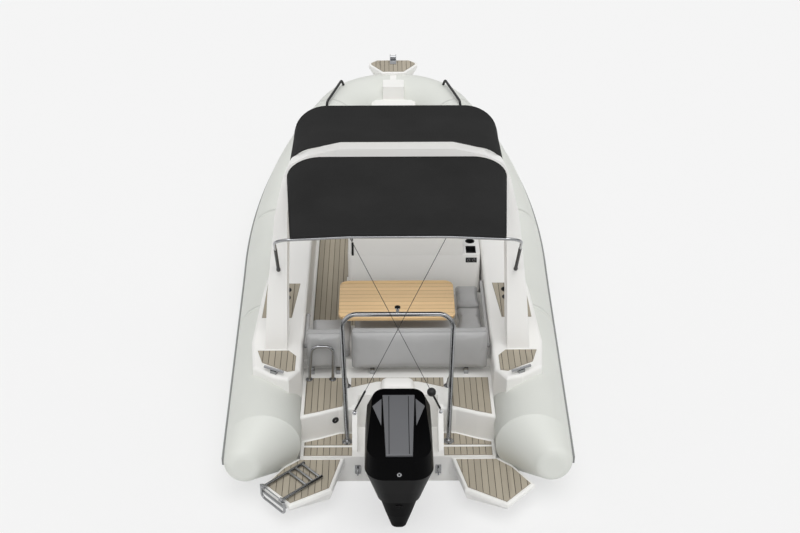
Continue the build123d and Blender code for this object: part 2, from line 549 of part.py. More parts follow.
nodes["roll_arch"] = arch - Pos(0, ARCH_Y, SIDE_DECK_Z - ARCH_REACH / 2) * Box(ARCH_REACH, ARCH_REACH,
                                                                               ARCH_REACH)

# Canopies: cloth from the arch to a stainless bow that is pivoted on the arch legs
AFT_HALF, FORE_HALF = 990, 930      # half widths of the bows at their corners
AFT_BEND, FORE_BEND = 130, 300
CROWN_X = 400                       # half width of the aft bow's raised middle
CLOTH_LAP = 10
CLOTH_LIFT = HOOP_R + GLUE + 3      # the cloth's underside over the middle of a bow's tube
BEND_STEPS = 4
ARCH_EDGE = (651, 304, 175)         # where the cloth turns down at the arch, its width and drop from there
AFT_ARCH_Z, FORE_ARCH_Z = 2545, 2500
pivot_y = ARCH_Y + PIVOT_V * sin(lean)
pivot_z = SIDE_DECK_Z + PIVOT_V * cos(lean)
pivot_in = ARCH_T / 2 / cos(lean)
AFT_PIVOT = Vector(1055, pivot_y - pivot_in, pivot_z)
FORE_PIVOT = Vector(1040, pivot_y + pivot_in, pivot_z)


def turned_down(half, width, drop, z, lift=0.0):
    """Quarter ellipse from (half, z) outward and down, raised along its normal."""
    points = []
    for step in range(BEND_STEPS + 1):
        turn = radians(90 * step / BEND_STEPS)
        side, up = drop * sin(turn), width * cos(turn)
        share = lift / hypot(side, up)
        points.append((half + width * sin(turn) + share * side, z - drop * (1 - cos(turn)) + share * up))
    return points


def cloth_section(y, lower, upper):
    plane = Plane(origin=(0, y, 0), x_dir=(1, 0, 0), z_dir=(0, -1, 0))
    return plane * Polygon(*mirrored(lower), *lower, *reversed(upper), *[(-x, z) for x, z in upper],
                           align=None)


def bent_section(y, half, width, drop, z):
    return cloth_section(y, turned_down(half, width, drop, z, CLOTH_LIFT),
                         turned_down(half, width, drop, z, CLOTH_LIFT + CLOTH_T))


def crowned_section(y):
    """Section over the aft bow's sloping straight runs."""
    fall = AFT_CROWN / (AFT_HALF - CROWN_X)
    step = (AFT_HALF - AFT_BEND - CROWN_X) / BEND_STEPS
    lower = [(CROWN_X + step * k,
              HOOP_Z + AFT_CROWN - fall * step * k + CLOTH_LIFT) for k in range(BEND_STEPS + 1)]
    return cloth_section(y, lower, [(x, z + CLOTH_T) for x, z in lower])


slab = arch_plane * Box(ARCH_REACH, 2 * ARCH_REACH, ARCH_T)
aft_cloth = loft([crowned_section(AFT_HOOP_Y - CLOTH_LAP), crowned_section(AFT_HOOP_Y + 40),
                  bent_section(-1500, *ARCH_EDGE, AFT_ARCH_Z)], ruled=True) - slab
nodes["canopy_aft"] = aft_cloth.solids().sort_by(Axis.Y)[0]
fore_corner = Vector(FORE_HALF, FORE_HOOP_Y, HOOP_Z)
leg_way = (FORE_PIVOT - fore_corner).normalized()
bend_run = FORE_BEND / tan(radians(leg_way.get_angle(Vector(-1, 0, 0)) / 2))
bend_end = fore_corner + leg_way * bend_run
fore_edge = (FORE_HALF - bend_run, bend_end.X - FORE_HALF + bend_run, HOOP_Z - bend_end.Z, HOOP_Z)
fore_cloth = loft([bent_section(-1400, *ARCH_EDGE, FORE_ARCH_Z), bent_section(bend_end.Y, *fore_edge),
                   bent_section(FORE_HOOP_Y + CLOTH_LAP, *fore_edge)], ruled=True) - slab
front_y = FORE_HOOP_Y + CLOTH_LAP
corner = turned_down(fore_edge[0], fore_edge[1] + CLOTH_LAP, front_y - bend_end.Y, front_y)
corner = prism([*corner, (ARCH_REACH, bend_end.Y), (ARCH_REACH, front_y + CLOTH_LAP),
                (fore_edge[0], front_y + CLOTH_LAP)],
               HOOP_Z - ARCH_REACH / 4, HOOP_Z + ARCH_REACH / 4)
fore_cloth = fore_cloth - corner - port(corner)
nodes["canopy_fore"] = fore_cloth.solids().sort_by(Axis.Y)[-1]
aft_hoop = [tuple(AFT_PIVOT), (AFT_HALF, AFT_HOOP_Y, HOOP_Z), (CROWN_X, AFT_HOOP_Y, HOOP_Z + AFT_CROWN)]
fore_hoop = [tuple(FORE_PIVOT), tuple(fore_corner)]
nodes["canopy_bow_aft"] = rod(symmetric(aft_hoop), HOOP_R, AFT_BEND) - slab
nodes["canopy_bow_fore"] = rod(symmetric(fore_hoop), HOOP_R, FORE_BEND) - slab

# Ski mast: leaning hoop, forward struts and a tow post
SKI_FOOT = (450, -2660, STEP_Z + PAD_T)
SKI_TOP = (490, -2260, 1380)
STRUT_AT = 0.56
hoop = rod(symmetric([(SKI_FOOT[0], SKI_FOOT[1], SKI_FOOT[2] - 40), SKI_TOP]), SKI_R, 130)
hoop = hoop - box((-COCKPIT_X, COCKPIT_X), (TRANSOM_Y, STERN_STEP_Y), (0, SKI_FOOT[2]))
strut_top = [a + STRUT_AT * (b - a) for a, b in zip(SKI_FOOT, SKI_TOP)]
STRUT_FOOT = (455, -2195, STERN_DECK_Z)
strut = rod([strut_top, (*STRUT_FOOT[:2], STRUT_FOOT[2] - 20)], RAIL_R)
strut = strut - box((0, COCKPIT_X), (STERN_STEP_Y, STERN_DECK_Y), (0, STRUT_FOOT[2]))
TOW_H, TOW_R, TOW_CAP_R = 70, 14, 26
tow_post = Pos(0, SKI_TOP[1], SKI_TOP[2] + TOW_H / 2) * Cylinder(TOW_R, TOW_H)
tow_post = tow_post + Pos(0, SKI_TOP[1], SKI_TOP[2] + TOW_H) * Cylinder(TOW_CAP_R, 10)
nodes["ski_mast"] = hoop + strut + port(strut) + tow_post

rail_foot = STERN_DECK_Z + PAD_T
handrail = rod([(-805, -2100, rail_foot - 20), (-770, -2095, 920), (-575, -2095, 920),
                (-590, -2100, rail_foot - 20)], RAIL_R, 70)
nodes["port_handrail"] = handrail - box((-1000, 0), (-2300, -2000), (0, rail_foot))

# Deck fittings
CLEATS = [  # x, y, turn from fore and aft
    (1092, -2394, -64), (1060, 900, 0)]
cleat = Box(36, 60, 30) + Pos(0, 0, 25) * Rot(90, 0, 0) * Cylinder(13, 190)
EYE_X, EYE_Z = 355, 140
eye = Pos(EYE_X, TRANSOM_Y - 38, EYE_Z) * Rot(0, 90, 0) * Torus(28, 7)
eye = eye + box((EYE_X - 25, EYE_X + 25), (TRANSOM_Y - 12, TRANSOM_Y), (EYE_Z - 45, EYE_Z + 45))
cleats = [Pos(x, y, SIDE_DECK_Z + 15) * Rot(0, 0, turn) * cleat for x, y, turn in CLEATS]
nodes["deck_fittings"] = both(*cleats, eye, fixed_hinge)
GRAB_Z = nose_at.Z + TUBE_R
GRAB = [(820, bow_y - 770, GRAB_Z - 170), (800, bow_y - 720, GRAB_Z - 10), (640, bow_y - 240, GRAB_Z + 50),
        (600, bow_y - 190, GRAB_Z - 90)]
nodes["bow_grab_rails"] = both(rod(GRAB, 15, 40) - seat)

# Outboard: clamp arms, swivel, engine and propeller
arm_side = [(TRANSOM_Y, -120), (TRANSOM_Y - 55, -120), (TRANSOM_Y - 95, 330), (TILT_Y - 35, TILT_Z + 35),
            (TILT_Y + 30, TILT_Z + 40), (TRANSOM_Y + 50, STEP_Z + 60), (TRANSOM_Y + 50, STEP_Z), (TRANSOM_Y,
                                                                                                  STEP_Z)]
arm = side_prism(arm_side, *ARM_X) - cylinder_x(TILT_R + RUN_GAP, 800, (0, TILT_Y, TILT_Z))
nodes["clamp_bracket"] = both(arm)
swivel = box((-95, 95), (TILT_Y - 25, TILT_Y + 25), (TILT_Z - 60, TILT_Z + 25))
swivel = swivel + box((-70, 70), (STEER_Y - 55, TILT_Y), (-60, TILT_Z - 40))
swivel = swivel + cylinder_x(TILT_R, 2 * ARM_X[1] + 10, (0, TILT_Y, TILT_Z))
nodes["swivel_bracket"] = swivel - Pos(0, STEER_Y, 0) * Cylinder(STEER_R + RUN_GAP, 2000)
MID = [  # z, half width, front y, aft y
    (450, 172, -3075, -3640), (200, 114, -3130, -3540), (0, 66, -3135, -3450), (PLATE_Z, 55, -3135, -3420)]
mid = loft([rounded_plan(half, front, aft, 0.5 * half, 0.8 * half, z) for z, half, front, aft in MID],
           ruled=True)
yoke = Pos(0, STEER_Y, 150) * Cylinder(STEER_R, 500)
YOKE = [  # half width, bottom, top
    (75, TILT_Z - 30, TILT_Z + 10), (60, -130, -75)]
YOKE_BOSS_R = 45
for half, low, high in YOKE:
    yoke = yoke + box((-half, half), (STEER_Y - 180, STEER_Y), (low, high))
    yoke = yoke + Pos(0, STEER_Y, (low + high) / 2) * Cylinder(YOKE_BOSS_R, high - low)
nodes["steer_yoke"] = yoke - mid
nodes["midsection"] = mid
PLATE = [(90, -2990), (140, -3300), (130, -3640)]
GEAR = [  # z, half width, front y, aft y
    (PLATE_Z - 20, 45, -3140, -3410), (PROP_Z, 38, -3180, -3400)]
GEAR_R, GEAR_Y = 62, (-3600, -3140)
leg = loft([rounded_plan(half, front, aft, 0.6 * half, 0.8 * half, z) for z, half, front, aft in GEAR],
           ruled=True)
torpedo = cylinder_y(GEAR_R, GEAR_Y[1] - GEAR_Y[0], (0, sum(GEAR_Y) / 2, PROP_Z))
torpedo = torpedo + Pos(0, GEAR_Y[1], PROP_Z) * Sphere(GEAR_R)
SKEG_Z = PROP_Z - 230
skeg = side_prism([(-3200, PROP_Z), (-3320, SKEG_Z), (-3480, SKEG_Z), (-3520, PROP_Z)], -8, 8)
shaft = cylinder_y(SHAFT_R, 260, (0, PROP_Y + 30, PROP_Z))
nodes["gearcase"] = prism(symmetric(PLATE), PLATE_Z - 20, PLATE_Z) + torpedo + leg + skeg + shaft
COWL = [  # z, half width, front y, aft y
    (450, 178, -3030, -3650), (620, 220, -3005, -3725), (850, 278, -3005, -3830),
    (1050, 262, -3020, -3805), (1200, 195, -3055, -3760)]
COWL_TOP = Vector(0, -3055, 1166)       # front of the sloping top
COWL_FALL = 0.175                       # its fall toward the stern
COWL_REACH = 1000                       # larger than the cowl, for cutting
top_plane = Plane(origin=COWL_TOP, x_dir=(1, 0, 0), z_dir=(0, -COWL_FALL, 1))


def cowl(wall):
    rows = [(z, half - wall, front - wall, aft + wall) for z, half, front, aft in COWL]
    rows[0] = (rows[0][0] + wall, *rows[0][1:])
    shell = loft([rounded_plan(half, front, aft, 0.45 * half, 0.6 * half, z) for z, half, front,
                  aft in rows], ruled=True)
    return shell - top_plane * Pos(0, 0, COWL_REACH - wall) * Box(2 * COWL_REACH, 4 * COWL_REACH,
                                                                  2 * COWL_REACH)


nodes["cowling"] = cowl(0) - cowl(COWL_WALL)
nodes["powerhead"] = box((-150, 150), (-3450, -3160), (COWL[0][0] + COWL_WALL, 940))
PANEL = [(132, -80), (107, -725)]       # half width, place along the sloping top
PANEL_T = 22
panel = prism(symmetric(PANEL), 0, PANEL_T)
nodes["cowl_panel"] = top_plane * fillet(top_edges(panel), 8)
HUB_R, BLADE_PITCH = 56, 62
blade = Polygon((-45, 40), (45, 40), (105, 120), (80, PROP_R - 12), (0, PROP_R), (-85, 150), align=None)
blade = Rot(0, BLADE_PITCH, 0) * extrude(blade, 5, both=True)
prop = Cylinder(HUB_R, 130)
for k in range(3):
    prop = prop + Rot(0, 0, 120 * k) * blade
prop = prop - Cylinder(SHAFT_R + RUN_GAP, 300)
nodes["propeller"] = Pos(0, PROP_Y, PROP_Z) * Rot(90, 0, 0) * prop

# Boarding ladder, folded on the port platform, and its fixed hinge loop
span = hypot(HINGE_B[0] - HINGE_A[0], HINGE_B[1] - HINGE_A[1])
hinge_way = Vector(HINGE_B[0] - HINGE_A[0], HINGE_B[1] - HINGE_A[1], 0).normalized()
hinge_mid = Vector((HINGE_A[0] + HINGE_B[0]) / 2, (HINGE_A[1] + HINGE_B[1]) / 2,
                   PLATFORM_Z + LADDER_R + LADDER_LIFT)
ladder_plane = Plane(origin=hinge_mid, x_dir=hinge_way, z_dir=(0, 0, 1))
RAIL_X = span / 2 - 4
KNUCKLE_R = LADDER_R + 4
rungs = [LADDER_L - 25 - RUNG_STEP * k for k in range(3)]
ladder = cylinder_x(LADDER_R - 2, 2 * RAIL_X, (0, rungs[0], 0))
for at in rungs[1:]:
    ladder = ladder + cylinder_x(LADDER_R - 2, 2 * RAIL_X, (0, at, 0))
for side in (-RAIL_X, RAIL_X):
    ladder = ladder + cylinder_y(LADDER_R, LADDER_L, (side, LADDER_L / 2, 0))
    ladder = ladder + cylinder_x(KNUCKLE_R, 2 * KNUCKLE_R, (side, 0, 0))
nodes["boarding_ladder"] = ladder_plane * (ladder - cylinder_x(PIN_R + RUN_GAP, 4 * RAIL_X, (0, 0, 0)))
LOOP_X = RAIL_X + KNUCKLE_R + 16
LOOP_DROP, LOOP_R, LOOP_PLATE = 130, 11, 130
loop = rod([(-LOOP_X, 0, 0), (-LOOP_X, 0, -LOOP_DROP), (LOOP_X, 0, -LOOP_DROP), (LOOP_X, 0, 0)], LOOP_R, 40)
loop = loop + cylinder_x(PIN_R, 2 * LOOP_X, (0, 0, 0)) + Pos(0, LOOP_PLATE / 2, -75) * Box(2 * LOOP_X,
                                                                                           LOOP_PLATE, 14)
nodes["ladder_bracket"] = (ladder_plane * loop) - port(platform)

for name, shape in nodes.items():
    export_step(shape, f"parts/{name}.step")
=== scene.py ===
import json
import math

import bmesh
import bpy
from bpy.props import FloatProperty, FloatVectorProperty, IntProperty, PointerProperty
from mathutils import Matrix, Vector
from mathutils.bvhtree import BVHTree


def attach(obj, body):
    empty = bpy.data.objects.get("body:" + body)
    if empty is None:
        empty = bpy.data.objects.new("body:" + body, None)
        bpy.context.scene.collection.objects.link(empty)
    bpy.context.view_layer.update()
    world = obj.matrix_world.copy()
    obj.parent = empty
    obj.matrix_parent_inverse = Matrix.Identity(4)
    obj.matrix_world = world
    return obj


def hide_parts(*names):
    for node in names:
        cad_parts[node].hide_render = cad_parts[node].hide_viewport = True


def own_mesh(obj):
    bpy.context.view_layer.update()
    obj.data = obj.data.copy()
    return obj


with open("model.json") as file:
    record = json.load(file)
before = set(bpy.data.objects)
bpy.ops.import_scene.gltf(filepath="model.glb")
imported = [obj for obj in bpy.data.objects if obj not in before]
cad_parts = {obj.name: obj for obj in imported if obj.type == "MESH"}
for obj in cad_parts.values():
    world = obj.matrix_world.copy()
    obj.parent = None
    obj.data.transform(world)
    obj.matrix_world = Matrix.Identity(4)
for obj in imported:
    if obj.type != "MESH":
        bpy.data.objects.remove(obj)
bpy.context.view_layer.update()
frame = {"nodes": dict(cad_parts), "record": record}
# The tubes' slot, as the record names it
COLLAR_SLOT = next(e["material_slot"] for e in frame["record"]["subparts"] if e["node"] == "tube_port")

bl_info = {
    "name": "Rigid inflatable boat",
    "version": (1, 0, 0),
    "blender": (4, 5, 0),
    "location": "3D View > Sidebar > Boat",
    "description": "Dresses the packed boat with decking, upholstery, canopies, rigging and finishes",
    "category": "Object",
}

MM = 0.001
SIDES = (1, -1)

# Places that repeat the source's own values, in metres
SIDE_DECK_Z = 0.850
STEP_Z = 0.280
STERN_DECK_Z = 0.550
PAD_T = 0.006
CUPS = [(1.060, -1.195), (1.060, -1.060)]
CUP_DEPTH, HELM_CUP_DEPTH = 0.078, 0.074
HELM_CUP = Vector((0.750, -0.310, 0.950))
TRAY = ((0.700, 0.800), (-0.540, -0.400), 0.950)
SKI_FOOT = Vector((0.450, -2.660, STEP_Z + PAD_T))
STRUT_FOOT = Vector((0.455, -2.195, STERN_DECK_Z))
STRUT_TOP = Vector((0.472, -2.436, 0.899))
STAY_FOOT = Vector((0.384, -2.528, 0.532))
STAY_HEAD = Vector((0.382, -2.764, 2.450))
COWL_TOP = Vector((0, -3.055, 1.166))
COWL_FALL = math.atan(0.175)     # slope of the cowling's top, falling aft
RAIL_FEET = [Vector((-0.805, -2.100, STERN_DECK_Z + PAD_T)), Vector((-0.590, -2.100, STERN_DECK_Z + PAD_T))]
HOOP_Z = 2.430
CLOTH_LIFT = 0.0165         # canvas over the middle of a bow's tube
ARCH_SLOPE = math.tan(math.radians(15))
ARCH_AFT = (-2.0249, 0.8888)     # a point (y, z) on each leaning face of the arch
ARCH_FORE = (-1.7351, 0.8112)
ARCH_TOP = {"aft": 2.545, "fore": 2.500}
BOW_CORNERS = {"aft": Vector((0.990, -2.760, 2.430)), "fore": Vector((0.930, -0.300, 2.430))}
BOW_FEET = {"aft": Vector((1.055, -1.8412, 1.5744)), "fore": Vector((1.040, -1.5306, 1.5744))}
SHOWER_CAP = ((-0.555, -2.5396, 0.434), (0.376, -0.927, 0))     # its middle and the way that it faces

# Points aft of the engine and of the helm seat, from which a line forward finds the skin
FORWARD = (0, 1, 0)
SOCKETS_FROM = (0.750, -1.4, 0.900)
SWITCH_FROM = (-0.430, -1.4, 1.030)
GRIP_FROM = (-0.430, -1.4, 1.200)
LOCK_FROM = (0, -4.5, 0.905)
LATCH_FROM = (0, -4.5, 0.380)

# The tubes' seam tapes: each one's place along the boat and its turn in degrees as the tube bends in
TAPES = [(-1.20, 0.0), (0.55, 0.0), (2.05, 12.0), (3.00, 24.0)]
TAPE_T, TAPE_LIFT = 0.8 * MM, 0.9 * MM

# Small sizes of the dressing
UPWARD = 0.9                # least z of the normal of a face that counts as a top
SEAM_W, TABLE_SEAM_W = 0.005, 0.004
SEAM_DEPTH, TABLE_SEAM_DEPTH = 1.5 * MM, 1 * MM
SEAM_LIP = 0.4 * MM
COVER_TUCK = 7 * MM         # cut from a cushion all round, for its stuffing to fill again
COVER_FRAMES = 20
WELT_DROP, WELT_INSET, WELT_CORNER = 22 * MM, 24 * MM, 30 * MM
CANVAS_T, HEM_R = 1.6 * MM, 5 * MM
LEVEL = 0.6                 # share of a canopy's half section before it turns down
BOW_SLEEVE = 0.72           # share of a leg that its black sleeve covers
STAY_STAGGER = 0.012        # the port stay's foot is further aft, so that the two clear where they cross
FLOAT_R, FLOAT_SHARE = 40 * MM, 0.115
SKI_FLANGE, STRUT_FLANGE, RAIL_FLANGE = 46 * MM, 34 * MM, 32 * MM
GROOVE = Vector((0.080, -0.405, 21.5 * MM))     # middle of a groove, from the top of the cowling
FACET = [(0.140, -0.110), (0.214, -0.190), (0.142, -0.400)]
RING = [(8 * MM, 0), (8 * MM, 3 * MM), (11 * MM, 5 * MM), (16 * MM, 5 * MM), (19 * MM, 3 * MM), (20 * MM, 0)]
LATCH = [(0, 3 * MM), (22 * MM, 3 * MM), (24 * MM, 6 * MM), (28 * MM, 5 * MM), (30 * MM, 0)]

# Camera of the photograph and the light of the stage
CAMERA_AT = (-0.092, -11.866, 7.872)
CAMERA_TURN = (math.radians(58), 0, math.radians(-0.49))
CAMERA_LENS, CAMERA_SHIFT = 59.85, 0.0045
FLOOR_HALF = 60
FLOOR_GLOW = 0.65           # share of the floor that the camera sees as plain paper
SKY_STRENGTH = 0.56
LAMP_AT, LAMP_WAY, LAMP_ANGLE = (2, 4, 12), (-0.06, 0.42, -1), math.radians(50)
FILL_AT, FILL_WAY = (0, -2.35, 2.05), (0, 1, -0.8)
FILL_SIZE, FILL_SPREAD = 0.9, math.radians(120)


def linear(code):
    """Linear colour of an sRGB hex code."""
    parts = [int(code[i:i + 2], 16) / 255 for i in (0, 2, 4)]
    return tuple(c / 12.92 if c <= 0.04045 else ((c + 0.055) / 1.055) ** 2.4 for c in parts)


class BoatColours(bpy.types.PropertyGroup):
    gelcoat: FloatVectorProperty(name="Gelcoat", description="White mouldings", subtype="COLOR",
                                 default=linear("f7f6f3"))
    collar: FloatVectorProperty(name="Collar", description="Coated fabric of the tubes", subtype="COLOR",
                                default=linear("e0e2dc"))
    decking: FloatVectorProperty(name="Decking", description="Foam planks", subtype="COLOR",
                                 default=linear("b2a998"))
    caulk: FloatVectorProperty(name="Caulk", description="Seams between the foam planks", subtype="COLOR",
                               default=linear("4b443a"))
    vinyl: FloatVectorProperty(name="Vinyl", description="Upholstery", subtype="COLOR",
                               default=linear("b4b4b4"))
    canvas: FloatVectorProperty(name="Canvas", description="Canopy cloth", subtype="COLOR",
                                default=linear("282828"))
    teak: FloatVectorProperty(name="Teak", description="Table top", subtype="COLOR",
                              default=linear("e3c08e"))
    engine: FloatVectorProperty(name="Engine", description="Cowling paint", subtype="COLOR",
                                default=linear("080809"))
    engine_panel: FloatVectorProperty(name="Engine panel", description="Raised panel on the cowling",
                                      subtype="COLOR", default=linear("66676a"))


class BoatSizes(bpy.types.PropertyGroup):
    plank_pitch: FloatProperty(name="Plank pitch", description="Foam plank and its seam", unit="LENGTH",
                               default=55 * MM)
    plank_edge: FloatProperty(name="Edge", description="Chamfer round each sheet of decking", unit="LENGTH",
                              default=4 * MM)
    table_pitch: FloatProperty(name="Table plank", description="Plank of the table and its seam",
                               unit="LENGTH",
                               default=62 * MM)
    cushion_cell: FloatProperty(name="Cushion cell", description="Voxel size of the upholstery mesh",
                                unit="LENGTH", default=11 * MM)
    cushion_swell: FloatProperty(name="Swell", description="Most that a cushion's cover may move",
                                 unit="LENGTH",
                                 default=14 * MM)
    piping: FloatProperty(name="Piping", description="Radius of the cushions' piping", unit="LENGTH",
                          default=4 * MM)
    canopy_sag: FloatProperty(name="Sag", description="Sag of a canopy between its bow and the arch",
                              unit="LENGTH", default=18 * MM)
    band_width: FloatProperty(name="Seam band", description="Width of the tape over a tube's seam",
                              unit="LENGTH",
                              default=55 * MM)
    stay_radius: FloatProperty(name="Stay", description="Radius of the crossing stays", unit="LENGTH",
                               default=2.6 * MM)
    screw_radius: FloatProperty(name="Screw head", description="Radius of the fittings' screws",
                                unit="LENGTH",
                                default=5 * MM)
    flange_screws: IntProperty(name="Screws", description="Screws in a round foot", default=4, min=3)
    lamp_power: FloatProperty(name="Lamp", description="Strength of the wide lamp overhead", default=1.45)
    fill_power: FloatProperty(name="Fill", description="Power of the soft lamp that looks under the canopies",
                              default=6.5)


def sizes():
    return bpy.context.scene.boat_sizes


def colours():
    return bpy.context.scene.boat_colours


# Meshes


def linked(name, data):
    """New object in the scene."""
    obj = bpy.data.objects.new(name, data)
    bpy.context.scene.collection.objects.link(obj)
    return obj


def on_side(p, side):
    """Point on a side of the boat, from its starboard place."""
    return Vector((side * p.x, p.y, p.z))


def piece(name, bm, material, body="boat", smooth=35):
    """One finished piece from a bmesh, on a body of the frame."""
    bmesh.ops.recalc_face_normals(bm, faces=bm.faces)
    mesh = bpy.data.meshes.new(name)
    bm.to_mesh(mesh)
    bm.free()
    obj = linked(name, mesh)
    for m in material if isinstance(material, list) else [material]:
        mesh.materials.append(m)
    mesh.shade_smooth()
    mesh.set_sharp_from_angle(angle=math.radians(smooth))
    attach(obj, body)
    return obj


def aim(origin, way):
    """Matrix that stands local +Z along way at origin."""
    return Matrix.Translation(origin) @ Vector(way).to_track_quat("Z", "Y").to_matrix().to_4x4()


def turned(bm, place, profile, steps=32):
    """Ring of revolution from (radius, height) points about local Z."""
    rings = []
    for r, h in profile:
        if r < 1e-6:
            rings.append([bm.verts.new(place @ Vector((0, 0, h)))])
            continue
        ring = []
        for k in range(steps):
            a = 2 * math.pi * k / steps
            ring.append(bm.verts.new(place @ Vector((r * math.cos(a), r * math.sin(a), h))))
        rings.append(ring)
    for low, high in zip(rings, rings[1:]):
        for k in range(steps):
            n = (k + 1) % steps
            face = [low[k % len(low)], low[n % len(low)], high[n % len(high)], high[k % len(high)]]
            bm.faces.new(list(dict.fromkeys(face)))


def slab(bm, place, x, y, z, bevel=2 * MM):
    """Bevelled plate of the given size, centred on the place."""
    made = bmesh.ops.create_cube(bm, size=1.0, matrix=place @ Matrix.Diagonal((x, y, z, 1)))
    edges = list({e for v in made["verts"] for e in v.link_edges})
    bmesh.ops.bevel(bm, geom=edges, offset=bevel, segments=3, profile=0.5, affect="EDGES")


def stretch_of(start, end, first, reach, steps=6):
    """Points along a part of a straight line, given as shares of it."""
    return [start.lerp(end, first + reach * k / steps) for k in range(steps + 1)]


def tube_along(bm, points, radius, steps=12, closed=False):
    """Round bar through points, with flat ends unless it is closed."""
    count = len(points)
    rings = []
    side = None
    for k, p in enumerate(points):
        a = points[k - 1] if k or closed else p
        b = points[(k + 1) % count] if k + 1 < count or closed else p
        way = (b - a).normalized()
        if side is None:
            side = way.orthogonal().normalized()
        side = (side - way * side.dot(way)).normalized()
        up = way.cross(side)
        rings.append([bm.verts.new(p + (side * math.cos(t) + up * math.sin(t)) * radius)
                      for t in (2 * math.pi * j / steps for j in range(steps))])
    pairs = list(zip(rings, rings[1:]))
    if closed:
        pairs.append((rings[-1], rings[0]))
    for low, high in pairs:
        for k in range(steps):
            n = (k + 1) % steps
            bm.faces.new((low[k], low[n], high[n], high[k]))
    if not closed:
        bm.faces.new(rings[0])
        bm.faces.new(reversed(rings[-1]))


def cad_copy(name):
    """Merged copy of a CAD node's mesh."""
    bm = bmesh.new()
    bm.from_mesh(frame["nodes"][name].data)
    bmesh.ops.remove_doubles(bm, verts=bm.verts, dist=1e-5)
    return bm


def islands(bm):
    """Loose parts as lists of faces."""
    left = set(bm.faces)
    found = []
    while left:
        seed = left.pop()
        part, stack = [seed], [seed]
        while stack:
            for e in stack.pop().edges:
                for f in e.link_faces:
                    if f in left:
                        left.discard(f)
                        part.append(f)
                        stack.append(f)
        found.append(part)
    return found


def on_skin(node, start, way):
    """Point and normal where a line from start first meets a CAD node."""
    bm = cad_copy(node)
    at, normal = BVHTree.FromBMesh(bm).ray_cast(Vector(start), Vector(way))[:2]
    bm.free()
    return at, normal


def plain(obj):
    """Replaces an object's modifiers with their result."""
    dg = bpy.context.evaluated_depsgraph_get()
    mesh = bpy.data.meshes.new_from_object(obj.evaluated_get(dg))
    obj.modifiers.clear()
    obj.data = mesh


# Materials


def add(tree, kind, inputs=None, stops=None, to=None, **settings):
    """Adds a node with its settings, ramp stops, values and links, and leads its output to a socket."""
    made = tree.nodes.new(kind)
    for key, value in settings.items():
        setattr(made, key, value)
    for element, (place, colour) in zip(made.color_ramp.elements if stops else (), stops or ()):
        element.position = place
        element.color = (*colour, 1)
    for key, value in (inputs or {}).items():
        if isinstance(value, bpy.types.NodeSocket):
            tree.links.new(value, made.inputs[key])
        else:
            made.inputs[key].default_value = value
    if to:
        tree.links.new(next(o for o in made.outputs if o.enabled), to)
    return made


def shade(colour, factor):
    return tuple(c * factor for c in colour)


def surface(name, **sockets):
    """New material with its Principled shader, its tree and Object coordinates."""
    material = bpy.data.materials.new(name)
    material.use_nodes = True
    tree = material.node_tree
    shader = tree.nodes["Principled BSDF"]
    for key, value in sockets.items():
        shader.inputs[key.replace("_", " ")].default_value = value
    at = add(tree, "ShaderNodeTexCoord").outputs["Object"]
    return material, tree, shader, at


def mottled(name, colour, size_mm, spread, grain_mm, grain_depth, **sockets):
    """Finish whose colour drifts over size_mm and whose skin has a fine grain."""
    material, tree, shader, at = surface(name, **sockets)
    drift = add(tree, "ShaderNodeTexNoise", {"Vector": at, "Scale": 1000 / size_mm, "Detail": 3.0})
    add(tree, "ShaderNodeValToRGB", {"Fac": drift.outputs["Fac"]}, to=shader.inputs["Base Color"],
        stops=[(0.3, shade(colour, 1 - spread)), (0.7, colour)])
    grain = add(tree, "ShaderNodeTexNoise", {"Vector": at, "Scale": 1000 / grain_mm, "Detail": 2.0})
    add(tree, "ShaderNodeBump", {"Height": grain.outputs["Fac"], "Distance": grain_depth * MM},
        to=shader.inputs["Normal"])
    return material


def planked(name, colour, caulk, axis, pitch, seam, streak_mm, **sockets):
    """Planks across an axis, each of its own tone, with a sunk dark seam between."""
    material, tree, shader, at = surface(name, **sockets)
    parts = add(tree, "ShaderNodeSeparateXYZ", {"Vector": at})
    across = add(tree, "ShaderNodeMath", {0: parts.outputs[axis], 1: pitch}, operation="DIVIDE")
    share = add(tree, "ShaderNodeMath", {0: across.outputs[0]}, operation="FRACT")
    is_seam = add(tree, "ShaderNodeMath", {0: share.outputs[0], 1: seam / pitch}, operation="LESS_THAN")
    plank = add(tree, "ShaderNodeMath", {0: across.outputs[0]}, operation="FLOOR")
    tone = add(tree, "ShaderNodeTexWhiteNoise", {"W": plank.outputs[0]}, noise_dimensions="1D")
    stretch = [1.0, 1.0, 1.0]
    stretch["XYZ".index(axis)] = 14.0
    spread = add(tree, "ShaderNodeMapping", {"Vector": at, "Scale": stretch})
    streak = add(tree, "ShaderNodeTexNoise",
                 {"Vector": spread.outputs[0], "Scale": 1000 / streak_mm, "Detail": 5.0})
    blend = add(tree, "ShaderNodeMath", {0: streak.outputs["Fac"], 1: tone.outputs["Value"]}, operation="ADD")
    ramp = add(tree, "ShaderNodeValToRGB", {"Fac": add(tree, "ShaderNodeMath", {0: blend.outputs[0], 1: 0.5},
                                                       operation="MULTIPLY").outputs[0]},
               stops=[(0.15, shade(colour, 0.86)), (0.85, shade(colour, 1.06))])
    add(tree, "ShaderNodeMix", {0: is_seam.outputs[0], 6: ramp.outputs["Color"], 7: (*caulk, 1)},
        to=shader.inputs["Base Color"], data_type="RGBA")
    level = add(tree, "ShaderNodeMath", {0: streak.outputs["Fac"], 1: is_seam.outputs[0]},
                operation="SUBTRACT")
    add(tree, "ShaderNodeBump", {"Height": level.outputs[0], "Distance": 0.5 * MM},
        to=shader.inputs["Normal"])
    return material


